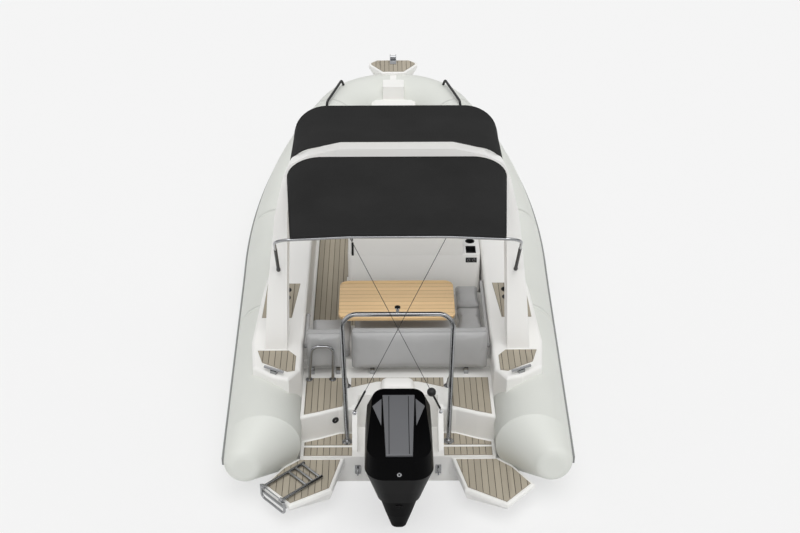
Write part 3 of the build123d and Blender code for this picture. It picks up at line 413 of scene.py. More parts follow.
def woven(name, colour, thread_mm, depth, **sockets):
    """Cloth: crossed threads, drawn coarser than life so that they show."""
    material, tree, shader, at = surface(name, **sockets)
    threads = []
    for turn in ("X", "Y"):
        threads.append(add(tree, "ShaderNodeTexWave", {"Vector": at, "Scale": 1000 / thread_mm / 20},
                           wave_type="BANDS", bands_direction=turn))
    cross = add(tree, "ShaderNodeMath", {0: threads[0].outputs["Fac"], 1: threads[1].outputs["Fac"]},
                operation="MULTIPLY")
    drift = add(tree, "ShaderNodeTexNoise", {"Vector": at, "Scale": 1000 / 450, "Detail": 4.0})
    add(tree, "ShaderNodeValToRGB", {"Fac": drift.outputs["Fac"]}, to=shader.inputs["Base Color"],
        stops=[(0.3, shade(colour, 0.85)), (0.7, shade(colour, 1.1))])
    add(tree, "ShaderNodeBump", {"Height": cross.outputs[0], "Distance": depth * MM},
        to=shader.inputs["Normal"])
    return material


def grained(name, colour, cell_mm, depth, **sockets):
    """Embossed vinyl: pebble cells and a slow change of tone."""
    material, tree, shader, at = surface(name, **sockets)
    cells = add(tree, "ShaderNodeTexVoronoi", {"Vector": at, "Scale": 1000 / cell_mm}, feature="SMOOTH_F1")
    drift = add(tree, "ShaderNodeTexNoise", {"Vector": at, "Scale": 1000 / 260, "Detail": 3.0})
    add(tree, "ShaderNodeValToRGB", {"Fac": drift.outputs["Fac"]}, to=shader.inputs["Base Color"],
        stops=[(0.3, shade(colour, 0.92)), (0.7, colour)])
    add(tree, "ShaderNodeBump", {"Height": cells.outputs["Distance"], "Distance": depth * MM},
        to=shader.inputs["Normal"])
    return material


def polished(name, colour, smear_mm, **sockets):
    """Polished metal: faint smears in its gloss."""
    material, tree, shader, at = surface(name, Base_Color=(*colour, 1), Metallic=1.0, **sockets)
    smear = add(tree, "ShaderNodeTexNoise", {"Vector": at, "Scale": 1000 / smear_mm, "Detail": 4.0})
    add(tree, "ShaderNodeMapRange", {"Value": smear.outputs["Fac"], "To Min": 0.08, "To Max": 0.2},
        to=shader.inputs["Roughness"])
    return material


MATERIALS = {}


def make_materials():
    c, s = colours(), sizes()
    m = MATERIALS
    # Sprayed and polished gelcoat: bright, glossy, with a faint orange peel
    m["gelcoat_white"] = mottled("polished_gelcoat", tuple(c.gelcoat), 900, 0.03, 14, 0.05, Roughness=0.28,
                                 IOR=1.5, Specular_IOR_Level=0.3, Coat_Weight=0.1, Coat_Roughness=0.1)
    # Synthetic rubber on cloth: even, satin, with its cloth just showing
    m[COLLAR_SLOT] = mottled("coated_fabric", tuple(c.collar), 700, 0.04, 6, 0.12, Roughness=0.5, IOR=1.5)
    # Moulded rubber of the strakes: grey, matt, lightly pitted
    m["strake_rubber"] = mottled("moulded_rubber", linear("8b8d8c"), 300, 0.1, 5, 0.2, Roughness=0.65)
    # Closed cell foam sheet: matt, brushed along its planks, with routed dark seams
    m["deck_foam"] = planked("brushed_foam_planks", tuple(c.decking), tuple(c.caulk), "X", s.plank_pitch,
                             SEAM_W,
                             110, Roughness=0.75)
    # Caulking and the sheets' cut edges: dark, dry, without gloss
    m["caulk"] = mottled("caulking", tuple(c.caulk), 60, 0.1, 4, 0.1, Roughness=0.8)
    m["teak_caulk"] = mottled("table_caulking", shade(tuple(c.teak), 0.45), 60, 0.1, 4, 0.1, Roughness=0.6)
    m["foam_edge"] = mottled("cut_foam", shade(tuple(c.decking), 0.8), 120, 0.1, 4, 0.2, Roughness=0.8)
    # Marine vinyl: pebbled, soft gloss
    m["upholstery_grey"] = grained("embossed_vinyl", tuple(c.vinyl), 7, 0.25, Roughness=0.48, IOR=1.5)
    # Piping of the same vinyl, a tone darker
    m["piping"] = grained("piping_vinyl", shade(tuple(c.vinyl), 0.8), 6, 0.2, Roughness=0.45)
    # Acrylic canvas: matt weave with a little sheen
    m["canopy_cloth"] = woven("acrylic_canvas", tuple(c.canvas), 5, 0.35, Roughness=0.95,
                              Specular_IOR_Level=0.15)
    # Polished stainless steel: mirrors the stage, with wiped smears in its gloss
    m["stainless"] = polished("polished_stainless", linear("a4a5a7"), 180)
    # Oiled teak strips with brown caulking: warm, each strip of its own tone, with a soft gloss
    m["teak_table"] = planked("oiled_teak", tuple(c.teak), shade(tuple(c.teak), 0.45), "Y", s.table_pitch,
                              TABLE_SEAM_W,
                              160, Roughness=0.4, Coat_Weight=0.2)
    # Baked engine paint: deep black, with its gloss held low so that it stays dark under an open sky
    m["engine_black"] = mottled("baked_paint", tuple(c.engine), 400, 0.2, 10, 0.02, Roughness=0.3,
                                Specular_IOR_Level=0.03)
    # Satin grey paint on the cowling's raised panel
    m["engine_grey"] = mottled("satin_panel_paint", tuple(c.engine_panel), 300, 0.06, 6, 0.05, Roughness=0.42)
    # Painted castings of the brackets and the leg: black, with the casting's grain
    m["engine_metal"] = mottled("cast_paint", linear("0a0a0b"), 200, 0.2, 5, 0.15, Roughness=0.4,
                                Specular_IOR_Level=0.02)
    # Moulded black plastic: dull, with a fine spark texture
    m["black_plastic"] = mottled("moulded_plastic", linear("1b1b1c"), 150, 0.15, 4, 0.12, Roughness=0.5)
    # Tinted acrylic sheet: clear grey, with a faint haze
    glass, tree, shader, at = surface("tinted_acrylic", Base_Color=(*linear("9fa6a8"), 1), Roughness=0.04,
                                      IOR=1.49, Transmission_Weight=0.9)
    haze = add(tree, "ShaderNodeTexNoise", {"Vector": at, "Scale": 1000 / 350})
    add(tree, "ShaderNodeMapRange", {"Value": haze.outputs["Fac"], "To Min": 0.02, "To Max": 0.08},
        to=shader.inputs["Roughness"])
    m["screen_glass"] = glass
    for entry in frame["record"]["subparts"]:
        mesh = frame["nodes"][entry["node"]].data
        mesh.materials.clear()
        mesh.materials.append(m[entry["material_slot"]])


class BOAT_OT_finishes(bpy.types.Operator):
    """Give every CAD node its real finish"""
    bl_idname = "boat.finishes"
    bl_label = "Finishes"

    def execute(self, context):
        make_materials()
        return {"FINISHED"}


class BOAT_OT_stage(bpy.types.Operator):
    """Camera of the photograph, pale floor at the waterline and studio light"""
    bl_idname = "boat.stage"
    bl_label = "Stage"

    def execute(self, context):
        scene = context.scene
        scene.view_settings.view_transform = "Standard"
        camera = bpy.data.cameras.new("camera")
        camera.sensor_width = 36
        camera.lens = CAMERA_LENS
        camera.shift_x = CAMERA_SHIFT
        camera.clip_end = 200
        cam = linked("camera", camera)
        cam.location = CAMERA_AT
        cam.rotation_euler = CAMERA_TURN
        scene.camera = cam
        floor = bpy.data.meshes.new("floor")
        bm = bmesh.new()
        bmesh.ops.create_grid(bm, x_segments=1, y_segments=1, size=FLOOR_HALF)
        bm.to_mesh(floor)
        bm.free()
        ground = linked("floor", floor)
        material = bpy.data.materials.new("pale_floor")
        material.use_nodes = True
        tree = material.node_tree
        paint = tree.nodes["Principled BSDF"]
        paint.inputs["Base Color"].default_value = (*linear("f6f6f6"), 1)
        paint.inputs["Roughness"].default_value = 0.95
        paint.inputs["Specular IOR Level"].default_value = 0.0
        glow = add(tree, "ShaderNodeEmission", {"Color": (*linear("f5f5f5"), 1), "Strength": 1.0})
        eye = add(tree, "ShaderNodeLightPath")
        share = add(tree, "ShaderNodeMath", {0: eye.outputs["Is Camera Ray"], 1: FLOOR_GLOW},
                    operation="MULTIPLY")
        add(tree, "ShaderNodeMixShader", {0: share.outputs[0], 1: paint.outputs[0], 2: glow.outputs[0]},
            to=tree.nodes["Material Output"].inputs["Surface"])
        floor.materials.append(material)
        world = bpy.data.worlds.new("studio")
        scene.world = world
        world.use_nodes = True
        sky = world.node_tree
        back = sky.nodes["Background"]
        back.inputs["Color"].default_value = (1, 1, 1, 1)
        back.inputs["Strength"].default_value = SKY_STRENGTH
        rays = add(sky, "ShaderNodeLightPath")
        way = add(sky, "ShaderNodeSeparateXYZ",
                  {"Vector": add(sky, "ShaderNodeTexCoord").outputs["Generated"]})
        room = add(sky, "ShaderNodeValToRGB", {"Fac": way.outputs["Z"]},
                   stops=[(0.1, linear("3a3a3a")), (0.5, linear("ffffff"))])
        paper = add(sky, "ShaderNodeBackground", {"Color": (*linear("f5f5f5"), 1), "Strength": 1.0})
        mirror = add(sky, "ShaderNodeBackground", {"Color": room.outputs["Color"], "Strength": 1.0})
        straight = add(sky, "ShaderNodeMath", {0: rays.outputs["Is Camera Ray"],
                                               1: rays.outputs["Is Transmission Ray"]}, operation="MAXIMUM")
        lit = add(sky, "ShaderNodeMixShader", {0: rays.outputs["Is Glossy Ray"], 1: back.outputs[0],
                                               2: mirror.outputs[0]})
        add(sky, "ShaderNodeMixShader", {0: straight.outputs[0], 1: lit.outputs[0], 2: paper.outputs[0]},
            to=sky.nodes["World Output"].inputs["Surface"])
        lamp = bpy.data.lights.new("wide_lamp", "SUN")
        lamp.energy = sizes().lamp_power
        lamp.angle = LAMP_ANGLE
        obj = linked("wide_lamp", lamp)
        obj.location = LAMP_AT
        obj.rotation_euler = Vector(LAMP_WAY).to_track_quat("-Z", "Y").to_euler()
        fill = bpy.data.lights.new("cockpit_fill", "AREA")
        fill.energy = sizes().fill_power
        fill.size = FILL_SIZE
        fill.spread = FILL_SPREAD
        obj = linked("cockpit_fill", fill)
        obj.location = FILL_AT
        obj.rotation_euler = Vector(FILL_WAY).to_track_quat("-Z", "Y").to_euler()
        obj.visible_camera = False
        obj.visible_glossy = False
        return {"FINISHED"}


def groove(bm, axis, pitch, seam, depth, index):
    """Cuts a sunk seam into the upward faces at every pitch along an axis, in the material of the index."""
    way = Vector([float(i == axis) for i in range(3)])
    low = min(v.co[axis] for v in bm.verts)
    high = max(v.co[axis] for v in bm.verts)
    for k in range(math.floor(low / pitch), math.ceil(high / pitch) + 1):
        for at in (k * pitch, k * pitch + seam):
            bmesh.ops.bisect_plane(bm, geom=bm.verts[:] + bm.edges[:] + bm.faces[:], dist=1e-6,
                                   plane_co=way * at, plane_no=way)
    strips = [f for f in bm.faces if f.normal.z > UPWARD and f.material_index == 0
              and f.calc_center_median()[axis] % pitch < seam]
    for f in strips:
        f.material_index = index
    bmesh.ops.inset_region(bm, faces=strips, thickness=SEAM_LIP, depth=-depth, use_even_offset=True)


class BOAT_OT_decking(bpy.types.Operator):
    """Foam decking and the teak table: planks with sunk seams, and a chamfered edge round each sheet"""
    bl_idname = "boat.decking"
    bl_label = "Decking"

    def execute(self, context):
        bm = cad_copy("decking")
        for part in islands(bm):
            top = [f for f in part if f.normal.z > UPWARD]
            edge = bmesh.ops.inset_region(bm, faces=top, thickness=sizes().plank_edge, use_even_offset=True)
            kept = {v for f in top for v in f.verts}
            for v in {v for f in edge["faces"] for v in f.verts} - kept:
                v.co.z -= 0.6 * sizes().plank_edge
            for f in part + edge["faces"]:
                if f not in top:
                    f.material_index = 1
        groove(bm, 0, sizes().plank_pitch, SEAM_W, SEAM_DEPTH, 2)
        obj = piece("foam_decking", bm, [MATERIALS["deck_foam"], MATERIALS["foam_edge"], MATERIALS["caulk"]],
                    smooth=20)
        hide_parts("decking")
        bm = cad_copy("table_top")
        groove(bm, 1, sizes().table_pitch, TABLE_SEAM_W, TABLE_SEAM_DEPTH, 1)
        obj = piece("teak_planks", bm, [MATERIALS["teak_table"], MATERIALS["teak_caulk"]],
                    smooth=20)
        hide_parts("table_top")
        return {"FINISHED"}


def puff(obj, swell):
    """Blows a closed cover up a little, as stuffing does, and keeps the result."""
    rest = [v.co.copy() for v in obj.data.vertices]
    cloth = obj.modifiers.new("cover", "CLOTH")
    cloth.settings.use_pressure = True
    cloth.settings.uniform_pressure_force = 4
    cloth.settings.effector_weights.gravity = 0
    cloth.settings.quality = 4
    cloth.point_cache.frame_end = COVER_FRAMES
    for at in range(1, COVER_FRAMES + 1):
        bpy.context.scene.frame_set(at)
    plain(obj)
    bpy.context.scene.frame_set(1)
    for v, was in zip(obj.data.vertices, rest):
        move = v.co - was
        if move.length > swell:
            v.co = was + move.normalized() * swell


def cushion(name, faces, body, tuck):
    """Padded piece from a loose part of a CAD cushion."""
    shell = bmesh.new()
    copies = {v: shell.verts.new(v.co) for v in {v for f in faces for v in f.verts}}
    for f in faces:
        shell.faces.new([copies[v] for v in f.verts])
    low = Vector([min(v.co[i] for v in shell.verts) for i in range(3)])
    high = Vector([max(v.co[i] for v in shell.verts) for i in range(3)])
    centre = (low + high) / 2
    for v in shell.verts:
        for i in range(3):
            share = (v.co[i] - centre[i]) / max(high[i] - centre[i], 1e-6)
            v.co[i] -= share * tuck
    obj = piece(name, shell, MATERIALS["upholstery_grey"], body)
    remesh = obj.modifiers.new("cells", "REMESH")
    remesh.mode = "VOXEL"
    remesh.voxel_size = sizes().cushion_cell
    plain(obj)
    soften = obj.modifiers.new("soften", "SMOOTH")
    soften.iterations = 4
    plain(obj)
    puff(obj, sizes().cushion_swell)
    for v in obj.data.vertices:
        v.co.z = max(v.co.z, low.z + 0.3 * MM)
    obj.data.materials.clear()
    obj.data.materials.append(MATERIALS["upholstery_grey"])
    obj.data.shade_smooth()
    finer = obj.modifiers.new("finer", "SUBSURF")
    finer.levels = finer.render_levels = 1
    plain(obj)
    return obj, low, high


def piping_round(bm, obj, loop, radius):
    """Piping laid on a cushion's cover along a loop of points."""
    tree = BVHTree.FromPolygons([v.co for v in obj.data.vertices], [p.vertices for p in obj.data.polygons])
    laid = []
    for p in loop:
        at, normal = tree.find_nearest(p)[:2]
        laid.append(at + normal * radius * 0.2)
    smooth = [(a + b * 2 + c) / 4 for a, b, c in zip(laid[-1:] + laid[:-1], laid, laid[1:] + laid[:1])]
    tube_along(bm, smooth, radius, 8, closed=True)


def ring_of(low, high, plane, level, corner, step=0.02):
    """Rounded rectangle in a plane, as points: plane is the index of the axis that it faces."""
    a, b = [i for i in range(3) if i != plane]
    half = ((high[a] - low[a]) / 2, (high[b] - low[b]) / 2)
    mid = ((high[a] + low[a]) / 2, (high[b] + low[b]) / 2)
    points = []
    for sa, sb, start in ((1, 1, 0), (-1, 1, 90), (-1, -1, 180), (1, -1, 270)):
        for k in range(6):
            t = math.radians(start + 18 * k)
            p = Vector((0, 0, 0))
            p[plane] = level
            p[a] = mid[0] + sa * (half[0] - corner) + corner * math.cos(t)
            p[b] = mid[1] + sb * (half[1] - corner) + corner * math.sin(t)
            points.append(p)
    dense = []
    for p, q in zip(points, points[1:] + points[:1]):
        count = max(1, int((q - p).length / step))
        dense += [p.lerp(q, k / count) for k in range(count)]
    return dense


class BOAT_OT_upholstery(bpy.types.Operator):
    """Seat cushions, backrests and the bow sunpad as stuffed covers with piping"""
    bl_idname = "boat.upholstery"
    bl_label = "Upholstery"

    def execute(self, context):
        welts = bmesh.new()
        radius = sizes().piping
        for node, face in (("cushions", 2), ("backrests", 1), ("bow_sunpad", 2)):
            source = cad_copy(node)
            for k, part in enumerate(islands(source)):
                obj, low, high = cushion(f"{node}_{k + 1}", part, "boat", COVER_TUCK)
                if node == "bow_sunpad":
                    continue
                levels = [high.z - WELT_DROP] if face == 2 else [low.y + WELT_INSET, high.y - WELT_INSET]
                for level in levels:
                    piping_round(welts, obj, ring_of(low, high, face, level, WELT_CORNER), radius)
            source.free()
            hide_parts(node)
        piece("cushion_piping", welts, MATERIALS["piping"])
        return {"FINISHED"}


def canopy(name, node, rows):
    """Continuous sheet of canvas through rows of points, with a corded hem round it."""
    bm = bmesh.new()
    grid = [[bm.verts.new(p) for p in row] for row in rows]
    for a, b in zip(grid, grid[1:]):
        for k in range(len(a) - 1):
            bm.faces.new((a[k], a[k + 1], b[k + 1], b[k]))
    area = sum(f.calc_area() for f in bm.faces)
    obj = piece(name, bm, MATERIALS["canopy_cloth"], smooth=60)
    finer = obj.modifiers.new("finer", "SUBSURF")
    finer.levels = finer.render_levels = 1
    wall = obj.modifiers.new("wall", "SOLIDIFY")
    wall.thickness = CANVAS_T
    wall.offset = 1.0 if obj.data.polygons[0].normal.z > 0 else -1.0
    plain(obj)
    hem = bmesh.new()
    edge = rows[0] + [row[-1] for row in rows[1:]] + rows[-1][-2::-1] + [row[0] for row in rows[-2:0:-1]]
    tube_along(hem, edge, HEM_R, 8, closed=True)
    trim = piece(name + "_hem", hem, MATERIALS["canopy_cloth"], smooth=60)
    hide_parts(node)


def turned_down(share, half, width, drop, z):
    """Point (x, z) at a share of a canopy's half section: level to half, then a quarter ellipse down."""
    if share < LEVEL:
        return half * share / LEVEL, z
    turn = math.radians(90 * (share - LEVEL) / (1 - LEVEL))
    return half + width * math.sin(turn), z - drop * (1 - math.cos(turn))


class BOAT_OT_canopies(bpy.types.Operator):
    """Aft and fore canopies, each one curved sheet of canvas from the arch to its bow"""
    bl_idname = "boat.canopies"
    bl_label = "Canopies"

    def execute(self, context):
        steps, rows = 26, 24
        sag = sizes().canopy_sag
        arch_edge = (0.651, 0.304, 0.175)
        fore_edge = (0.651, 0.299, 0.159)
        fore_y, bend_y = -0.292, 0.229
        aft_y, crown_x, crown, corner_x, aft_half = -2.768, 0.400, 0.030, 0.860, 0.990
        grids = {"aft": [], "fore": []}
        for r in range(rows + 1):
            along = r / rows
            lines = {"aft": [], "fore": []}
            for k in range(-steps, steps + 1):
                share, side = abs(k) / steps, (k > 0) - (k < 0)
                dip = sag * 4 * along * (1 - along) * (1 - share * share)
                ax, az = turned_down(share, *arch_edge, ARCH_TOP["aft"] + CLOTH_LIFT)
                bx = crown_x * share / LEVEL
                if share >= LEVEL:
                    bx = crown_x + (corner_x - crown_x) * (share - LEVEL) / (1 - LEVEL)
                bz = HOOP_Z + crown - crown * max(0.0, bx - crown_x) / (aft_half - crown_x) + CLOTH_LIFT
                start = ARCH_AFT[0] + (az - ARCH_AFT[1]) * ARCH_SLOPE
                lines["aft"].append(Vector((side * (ax + (bx - ax) * along), start + (aft_y - start) * along,
                                            az + (bz - az) * along - dip)))
                ax, az = turned_down(share, *arch_edge, ARCH_TOP["fore"] + CLOTH_LIFT)
                bx, bz = turned_down(share, *fore_edge, HOOP_Z + CLOTH_LIFT)
                start = ARCH_FORE[0] + (az - ARCH_FORE[1]) * ARCH_SLOPE
                end = fore_y - bend_y * (HOOP_Z + CLOTH_LIFT - bz) / fore_edge[2]
                y = start + (end - start) * along
                part = min(1.0, (y - start) / (fore_y - bend_y - start))
                lines["fore"].append(Vector((side * (ax + (bx - ax) * part), y, az + (bz - az) * part - dip)))
            for key in grids:
                grids[key].append(lines[key])
        for key, grid in grids.items():
            canopy(f"canvas_{key}", f"canopy_{key}", grid)
        sleeves = bmesh.new()
        for key, corner in BOW_CORNERS.items():
            for side in SIDES:
                foot, head = on_side(BOW_FEET[key], side), on_side(corner, side)
                way = (head - foot).normalized()
                reach = BOW_SLEEVE * (head - foot).length
                profile = [(0, 0), (17 * MM, 0), (19 * MM, 8 * MM), (19 * MM, 40 * MM), (14.2 * MM, 56 * MM),
                           (14.2 * MM, reach), (0, reach)]
                turned(sleeves, aim(foot + way * 10 * MM, way), profile, 20)
        piece("bow_sleeves", sleeves, MATERIALS["black_plastic"])
        return {"FINISHED"}


class BOAT_OT_collar_seams(bpy.types.Operator):
    """Tapes over the seams round the tubes"""
    bl_idname = "boat.collar_seams"
    bl_label = "Collar seams"

    def execute(self, context):
        bands = bmesh.new()
        for node, side in (("tube_starboard", 1), ("tube_port", -1)):
            for y, turn in TAPES:
                bm = cad_copy(node)
                way = Vector((-side * math.sin(math.radians(turn)), math.cos(math.radians(turn)), 0))
                at = Vector((side * (1.0 - 0.1 * (y > 1)), y, 0.5))
                for shift, keep in ((sizes().band_width / 2, True), (-sizes().band_width / 2, False)):
                    bmesh.ops.bisect_plane(bm, geom=bm.verts[:] + bm.edges[:] + bm.faces[:], dist=1e-5,
                                           plane_co=at + way * shift, plane_no=way, clear_outer=keep,
                                           clear_inner=not keep)
                for v in bm.verts:
                    v.normal_update()
                for v in bm.verts:
                    v.co += v.normal * TAPE_LIFT
                mesh = bpy.data.meshes.new("band")
                bm.to_mesh(mesh)
                bm.free()
                bands.from_mesh(mesh)
                bpy.data.meshes.remove(mesh)
        obj = piece("tube_seam_tapes", bands, MATERIALS[COLLAR_SLOT], smooth=60)
        wall = obj.modifiers.new("wall", "SOLIDIFY")
        wall.thickness = TAPE_T
        wall.offset = -1
        plain(obj)
        return {"FINISHED"}


class BOAT_OT_stays(bpy.types.Operator):
    """Crossing stays from the aft canopy bow to the stern, with their sleeves, eyes and float"""
    bl_idname = "boat.stays"
    bl_label = "Stays"

    def execute(self, context):
        wire, sleeves, eyes, struts = bmesh.new(), bmesh.new(), bmesh.new(), bmesh.new()
        for side in SIDES:
            foot, head = on_side(STAY_FOOT, side), on_side(STAY_HEAD, -side)
            if side < 0:
                foot.y -= STAY_STAGGER
            tube_along(wire, stretch_of(foot, head, 0, 1, 12), sizes().stay_radius, 8)
            tube_along(sleeves, stretch_of(foot, head, 0.012, 0.115), 9 * MM, 12)
            turned(eyes, aim(foot - Vector((0, 0, 0.016)), (0, -0.6, 0.8)),
                   [(0, 0), (20 * MM, 0), (20 * MM, 3 * MM), (9 * MM, 6 * MM), (7 * MM, 16 * MM),
                    (0, 18 * MM)], 20)
            if side > 0:
                turns = [math.pi * k / 12 for k in range(13)]
                ball = [(FLOAT_R * math.sin(t), -FLOAT_R * math.cos(t)) for t in turns]
                turned(sleeves, aim(foot.lerp(head, FLOAT_SHARE), head - foot), ball, 28)
        for side in SIDES:
            foot, top = on_side(STRUT_FOOT, side), on_side(STRUT_TOP, side)
            tube_along(struts, stretch_of(foot, top, 0.05, 0.42), 16.5 * MM, 20)
        for name, bm, slot in (("crossing_stays", wire, "black_plastic"),
                               ("stay_sleeves", sleeves, "black_plastic"),
                               ("stay_eyes", eyes, "stainless"), ("strut_sleeves", struts, "black_plastic")):
            obj = piece(name, bm, MATERIALS[slot])
            if name in ("crossing_stays", "stay_sleeves"):
                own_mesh(obj)
        return {"FINISHED"}


def screw_tree():
    """Node tree: a screw's head on every point, turned along the point's own way."""
    tree = bpy.data.node_groups.new("screw_heads", "GeometryNodeTree")
    for name, kind in (("Geometry", "NodeSocketGeometry"), ("Radius", "NodeSocketFloat"),
                       ("Material", "NodeSocketMaterial")):
        tree.interface.new_socket(name=name, in_out="INPUT", socket_type=kind)
    tree.interface.new_socket(name="Geometry", in_out="OUTPUT", socket_type="NodeSocketGeometry")
    given = add(tree, "NodeGroupInput")
    half = add(tree, "ShaderNodeMath", {0: given.outputs["Radius"], 1: 0.55}, operation="MULTIPLY")
    head = add(tree, "GeometryNodeMeshCone", {"Vertices": 14, "Radius Bottom": given.outputs["Radius"],
                                              "Radius Top": half.outputs[0], "Depth": half.outputs[0]})
    way = add(tree, "GeometryNodeInputNamedAttribute", {"Name": "way"}, data_type="FLOAT_VECTOR")
    turn = add(tree, "FunctionNodeAlignRotationToVector", {"Vector": way.outputs["Attribute"]}, axis="Z")
    spread = add(tree, "GeometryNodeInstanceOnPoints", {"Points": given.outputs["Geometry"],
                                                        "Instance": head.outputs["Mesh"],
                                                        "Rotation": turn.outputs[0]})
    real = add(tree, "GeometryNodeRealizeInstances", {"Geometry": spread.outputs[0]})
    paint = add(tree, "GeometryNodeSetMaterial", {"Geometry": real.outputs[0],
                                                  "Material": given.outputs["Material"]})
    add(tree, "NodeGroupOutput", {0: paint.outputs[0]})
    return tree


def screws(name, places, radius, material, body="boat"):
    """Screw heads at (point, way) places, as one plain mesh."""
    mesh = bpy.data.meshes.new(name)
    mesh.from_pydata([tuple(p) for p, way in places], [], [])
    ways = mesh.attributes.new("way", "FLOAT_VECTOR", "POINT")
    ways.data.foreach_set("vector", [c for p, way in places for c in way])
    obj = linked(name, mesh)
    tree = bpy.data.node_groups.get("screw_heads") or screw_tree()
    made = obj.modifiers.new("screws", "NODES")
    made.node_group = tree
    keys = {s.name: s.identifier for s in tree.interface.items_tree if s.in_out == "INPUT"}
    made[keys["Radius"]] = radius
    made[keys["Material"]] = material
    plain(obj)
    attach(obj, body)


class BOAT_OT_rail_feet(bpy.types.Operator):
    """Round flanges with screws under the ski mast, its struts and the handrail"""
    bl_idname = "boat.rail_feet"
    bl_label = "Rail feet"

    def execute(self, context):
        bm, places = bmesh.new(), []
        feet = [(on_side(SKI_FOOT, side), SKI_FLANGE) for side in SIDES]
        feet += [(on_side(STRUT_FOOT, side), STRUT_FLANGE) for side in SIDES]
        feet += [(p, RAIL_FLANGE) for p in RAIL_FEET]
        for at, r in feet:
            turned(bm, Matrix.Translation(at), [(0, 0.2 * MM), (r, 0.2 * MM), (r, 4 * MM), (0.8 * r, 6 * MM),
                                                (0.55 * r, 8 * MM), (0.5 * r, 18 * MM), (0, 18 * MM)])
            for k in range(sizes().flange_screws):
                t = 2 * math.pi * (k + 0.5) / sizes().flange_screws
                places.append((at + Vector((0.78 * r * math.cos(t), 0.78 * r * math.sin(t), 5 * MM)),
                               (0, 0, 1)))
        piece("rail_feet", bm, MATERIALS["stainless"])
        screws("rail_foot_screws", places, sizes().screw_radius, MATERIALS["stainless"])
        return {"FINISHED"}


class BOAT_OT_cockpit_fittings(bpy.types.Operator):
    """Cup liners, helm tray, sockets, switch, shower cap and the helm seat's grip"""
    bl_idname = "boat.cockpit_fittings"
    bl_label = "Cockpit fittings"

    def execute(self, context):
        black, bright = bmesh.new(), bmesh.new()
        cups = [(Vector((s * x, y, SIDE_DECK_Z + PAD_T)), CUP_DEPTH) for s in SIDES for x, y in CUPS]
        cups.append((HELM_CUP, HELM_CUP_DEPTH))
        for at, depth in cups:
            rim = [(0, -depth), (36 * MM, -depth), (38 * MM, -0.004), (39 * MM, 1 * MM), (46 * MM, 2 * MM),
                   (47 * MM, 0.3 * MM)]
            turned(black, Matrix.Translation(at), rim)
        (x0, x1), (y0, y1), z = TRAY
        mid = Vector(((x0 + x1) / 2, (y0 + y1) / 2, z - 0.030))
        slab(black, Matrix.Translation(mid - Vector((0, 0, 0.024))), x1 - x0 - 4 * MM, y1 - y0 - 4 * MM,
             6 * MM)
        for side in SIDES:
            wall = mid + Vector((side * ((x1 - x0) / 2 - 3 * MM), 0, 0))
            slab(black, Matrix.Translation(wall), 4 * MM, y1 - y0 - 2 * MM, 56 * MM, 1 * MM)
            wall = mid + Vector((0, side * ((y1 - y0) / 2 - 3 * MM), 0))
            slab(black, Matrix.Translation(wall), x1 - x0 - 2 * MM, 4 * MM, 56 * MM, 1 * MM)
        cap = aim(*SHOWER_CAP)
        turned(black, cap,
               [(0, 3 * MM), (20 * MM, 3 * MM), (22 * MM, 7 * MM), (27 * MM, 8 * MM), (30 * MM, 5 * MM),
                            (31 * MM, 0)])
        turned(bright, cap, [(0, 4 * MM), (10 * MM, 5 * MM), (12 * MM, 9 * MM), (0, 10 * MM)])
        at, normal = on_skin("helm_seat_base", SOCKETS_FROM, FORWARD)
        plate = aim(at, normal)
        slab(black, plate @ Matrix.Translation((0, 0, 2 * MM)), 0.110, 0.052, 5 * MM, 2 * MM)
        for side in SIDES:
            turned(bright, plate @ Matrix.Translation((side * 0.026, 0, 4 * MM)),
                   [(11 * MM, 0), (11 * MM, 3 * MM), (14 * MM, 4 * MM), (16 * MM, 2 * MM), (16 * MM, 0)])
        at, normal = on_skin("helm_seat_base", SWITCH_FROM, FORWARD)
        slab(black, aim(at, normal) @ Matrix.Translation((0, 0, 2 * MM)), 0.022, 0.150, 5 * MM, 2 * MM)
        at, normal = on_skin("helm_seat_base", GRIP_FROM, FORWARD)
        grip = [Vector((0, y, z)) for y, z in ((-0.055, 0), (-0.055, 0.030), (-0.043, 0.042), (0.043, 0.042),
                                               (0.055, 0.030), (0.055, 0))]
        tube_along(bright, [aim(at, normal) @ p for p in grip], 8 * MM, 12)
        piece("liners_and_caps", black, MATERIALS["black_plastic"], smooth=40)
        piece("chrome_fittings", bright, MATERIALS["stainless"])
        return {"FINISHED"}


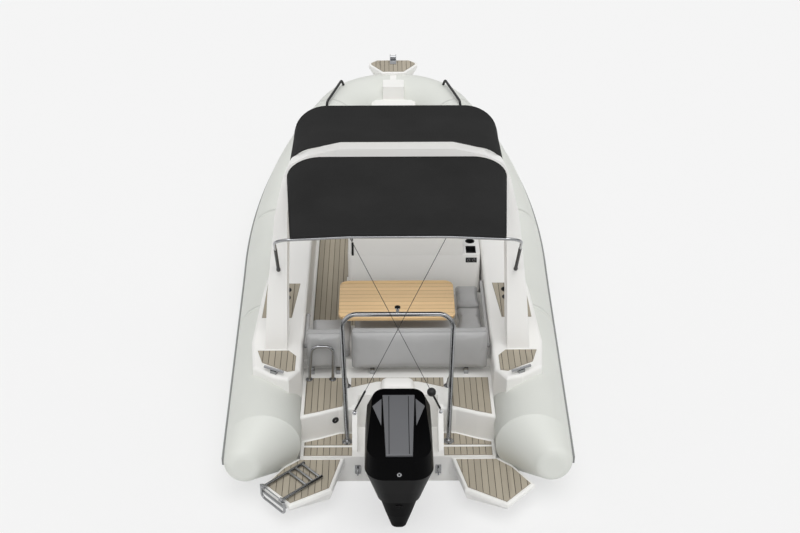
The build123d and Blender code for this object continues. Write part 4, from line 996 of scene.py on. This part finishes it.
class BOAT_OT_engine_trim(bpy.types.Operator):
    """Cowling grooves, side facets, latch and rear ring"""
    bl_idname = "boat.engine_trim"
    bl_label = "Engine trim"

    def execute(self, context):
        top = Matrix.Translation(COWL_TOP) @ Matrix.Rotation(COWL_FALL, 4, "X")
        dark, grey, bright = bmesh.new(), bmesh.new(), bmesh.new()
        for side in SIDES:
            slab(dark, top @ Matrix.Translation(on_side(GROOVE, side)), 5 * MM, 0.620, 3 * MM, 1 * MM)
            rings = [[grey.verts.new(top @ Vector((side * x, y, z))) for x, y in FACET] for z in (0.2 * MM,
                                                                                                  5 * MM)]
            grey.faces.new(rings[1])
            for k in range(3):
                grey.faces.new((rings[0][k - 1], rings[0][k], rings[1][k], rings[1][k - 1]))
        for node, start, profile, mesh in (("cowling", LOCK_FROM, RING, bright),
                                           ("midsection", LATCH_FROM, LATCH, dark)):
            at, normal = on_skin(node, start, FORWARD)
            turned(mesh, aim(at - normal * 0.3 * MM, normal), profile)
        piece("cowl_grooves", dark, MATERIALS["engine_black"], "engine")
        piece("cowl_facets", grey, MATERIALS["engine_grey"], "engine")
        piece("cowl_lock", bright, MATERIALS["stainless"], "engine")
        return {"FINISHED"}


class BOAT_PT_build(bpy.types.Panel):
    bl_label = "Boat"
    bl_idname = "BOAT_PT_build"
    bl_space_type = "VIEW_3D"
    bl_region_type = "UI"
    bl_category = "Boat"

    def draw(self, context):
        for kind in OPERATORS:
            self.layout.operator(kind.bl_idname)
        for group in (context.scene.boat_sizes, context.scene.boat_colours):
            box = self.layout.box()
            for key in group.__annotations__:
                box.prop(group, key)


OPERATORS = (BOAT_OT_finishes, BOAT_OT_stage, BOAT_OT_decking, BOAT_OT_upholstery, BOAT_OT_canopies,
             BOAT_OT_collar_seams, BOAT_OT_stays, BOAT_OT_rail_feet, BOAT_OT_cockpit_fittings,
             BOAT_OT_engine_trim)
CLASSES = (BoatColours, BoatSizes, *OPERATORS, BOAT_PT_build)


def register():
    for kind in CLASSES:
        bpy.utils.register_class(kind)
    bpy.types.Scene.boat_colours = PointerProperty(type=BoatColours)
    bpy.types.Scene.boat_sizes = PointerProperty(type=BoatSizes)


def unregister():
    del bpy.types.Scene.boat_sizes
    del bpy.types.Scene.boat_colours
    for kind in reversed(CLASSES):
        bpy.utils.unregister_class(kind)


def main():
    register()
    bpy.ops.boat.finishes()
    bpy.ops.boat.stage()
    bpy.ops.boat.decking()
    bpy.ops.boat.upholstery()
    bpy.ops.boat.canopies()
    bpy.ops.boat.collar_seams()
    bpy.ops.boat.stays()
    bpy.ops.boat.rail_feet()
    bpy.ops.boat.cockpit_fittings()
    bpy.ops.boat.engine_trim()


if __name__ == "__main__":
    main()
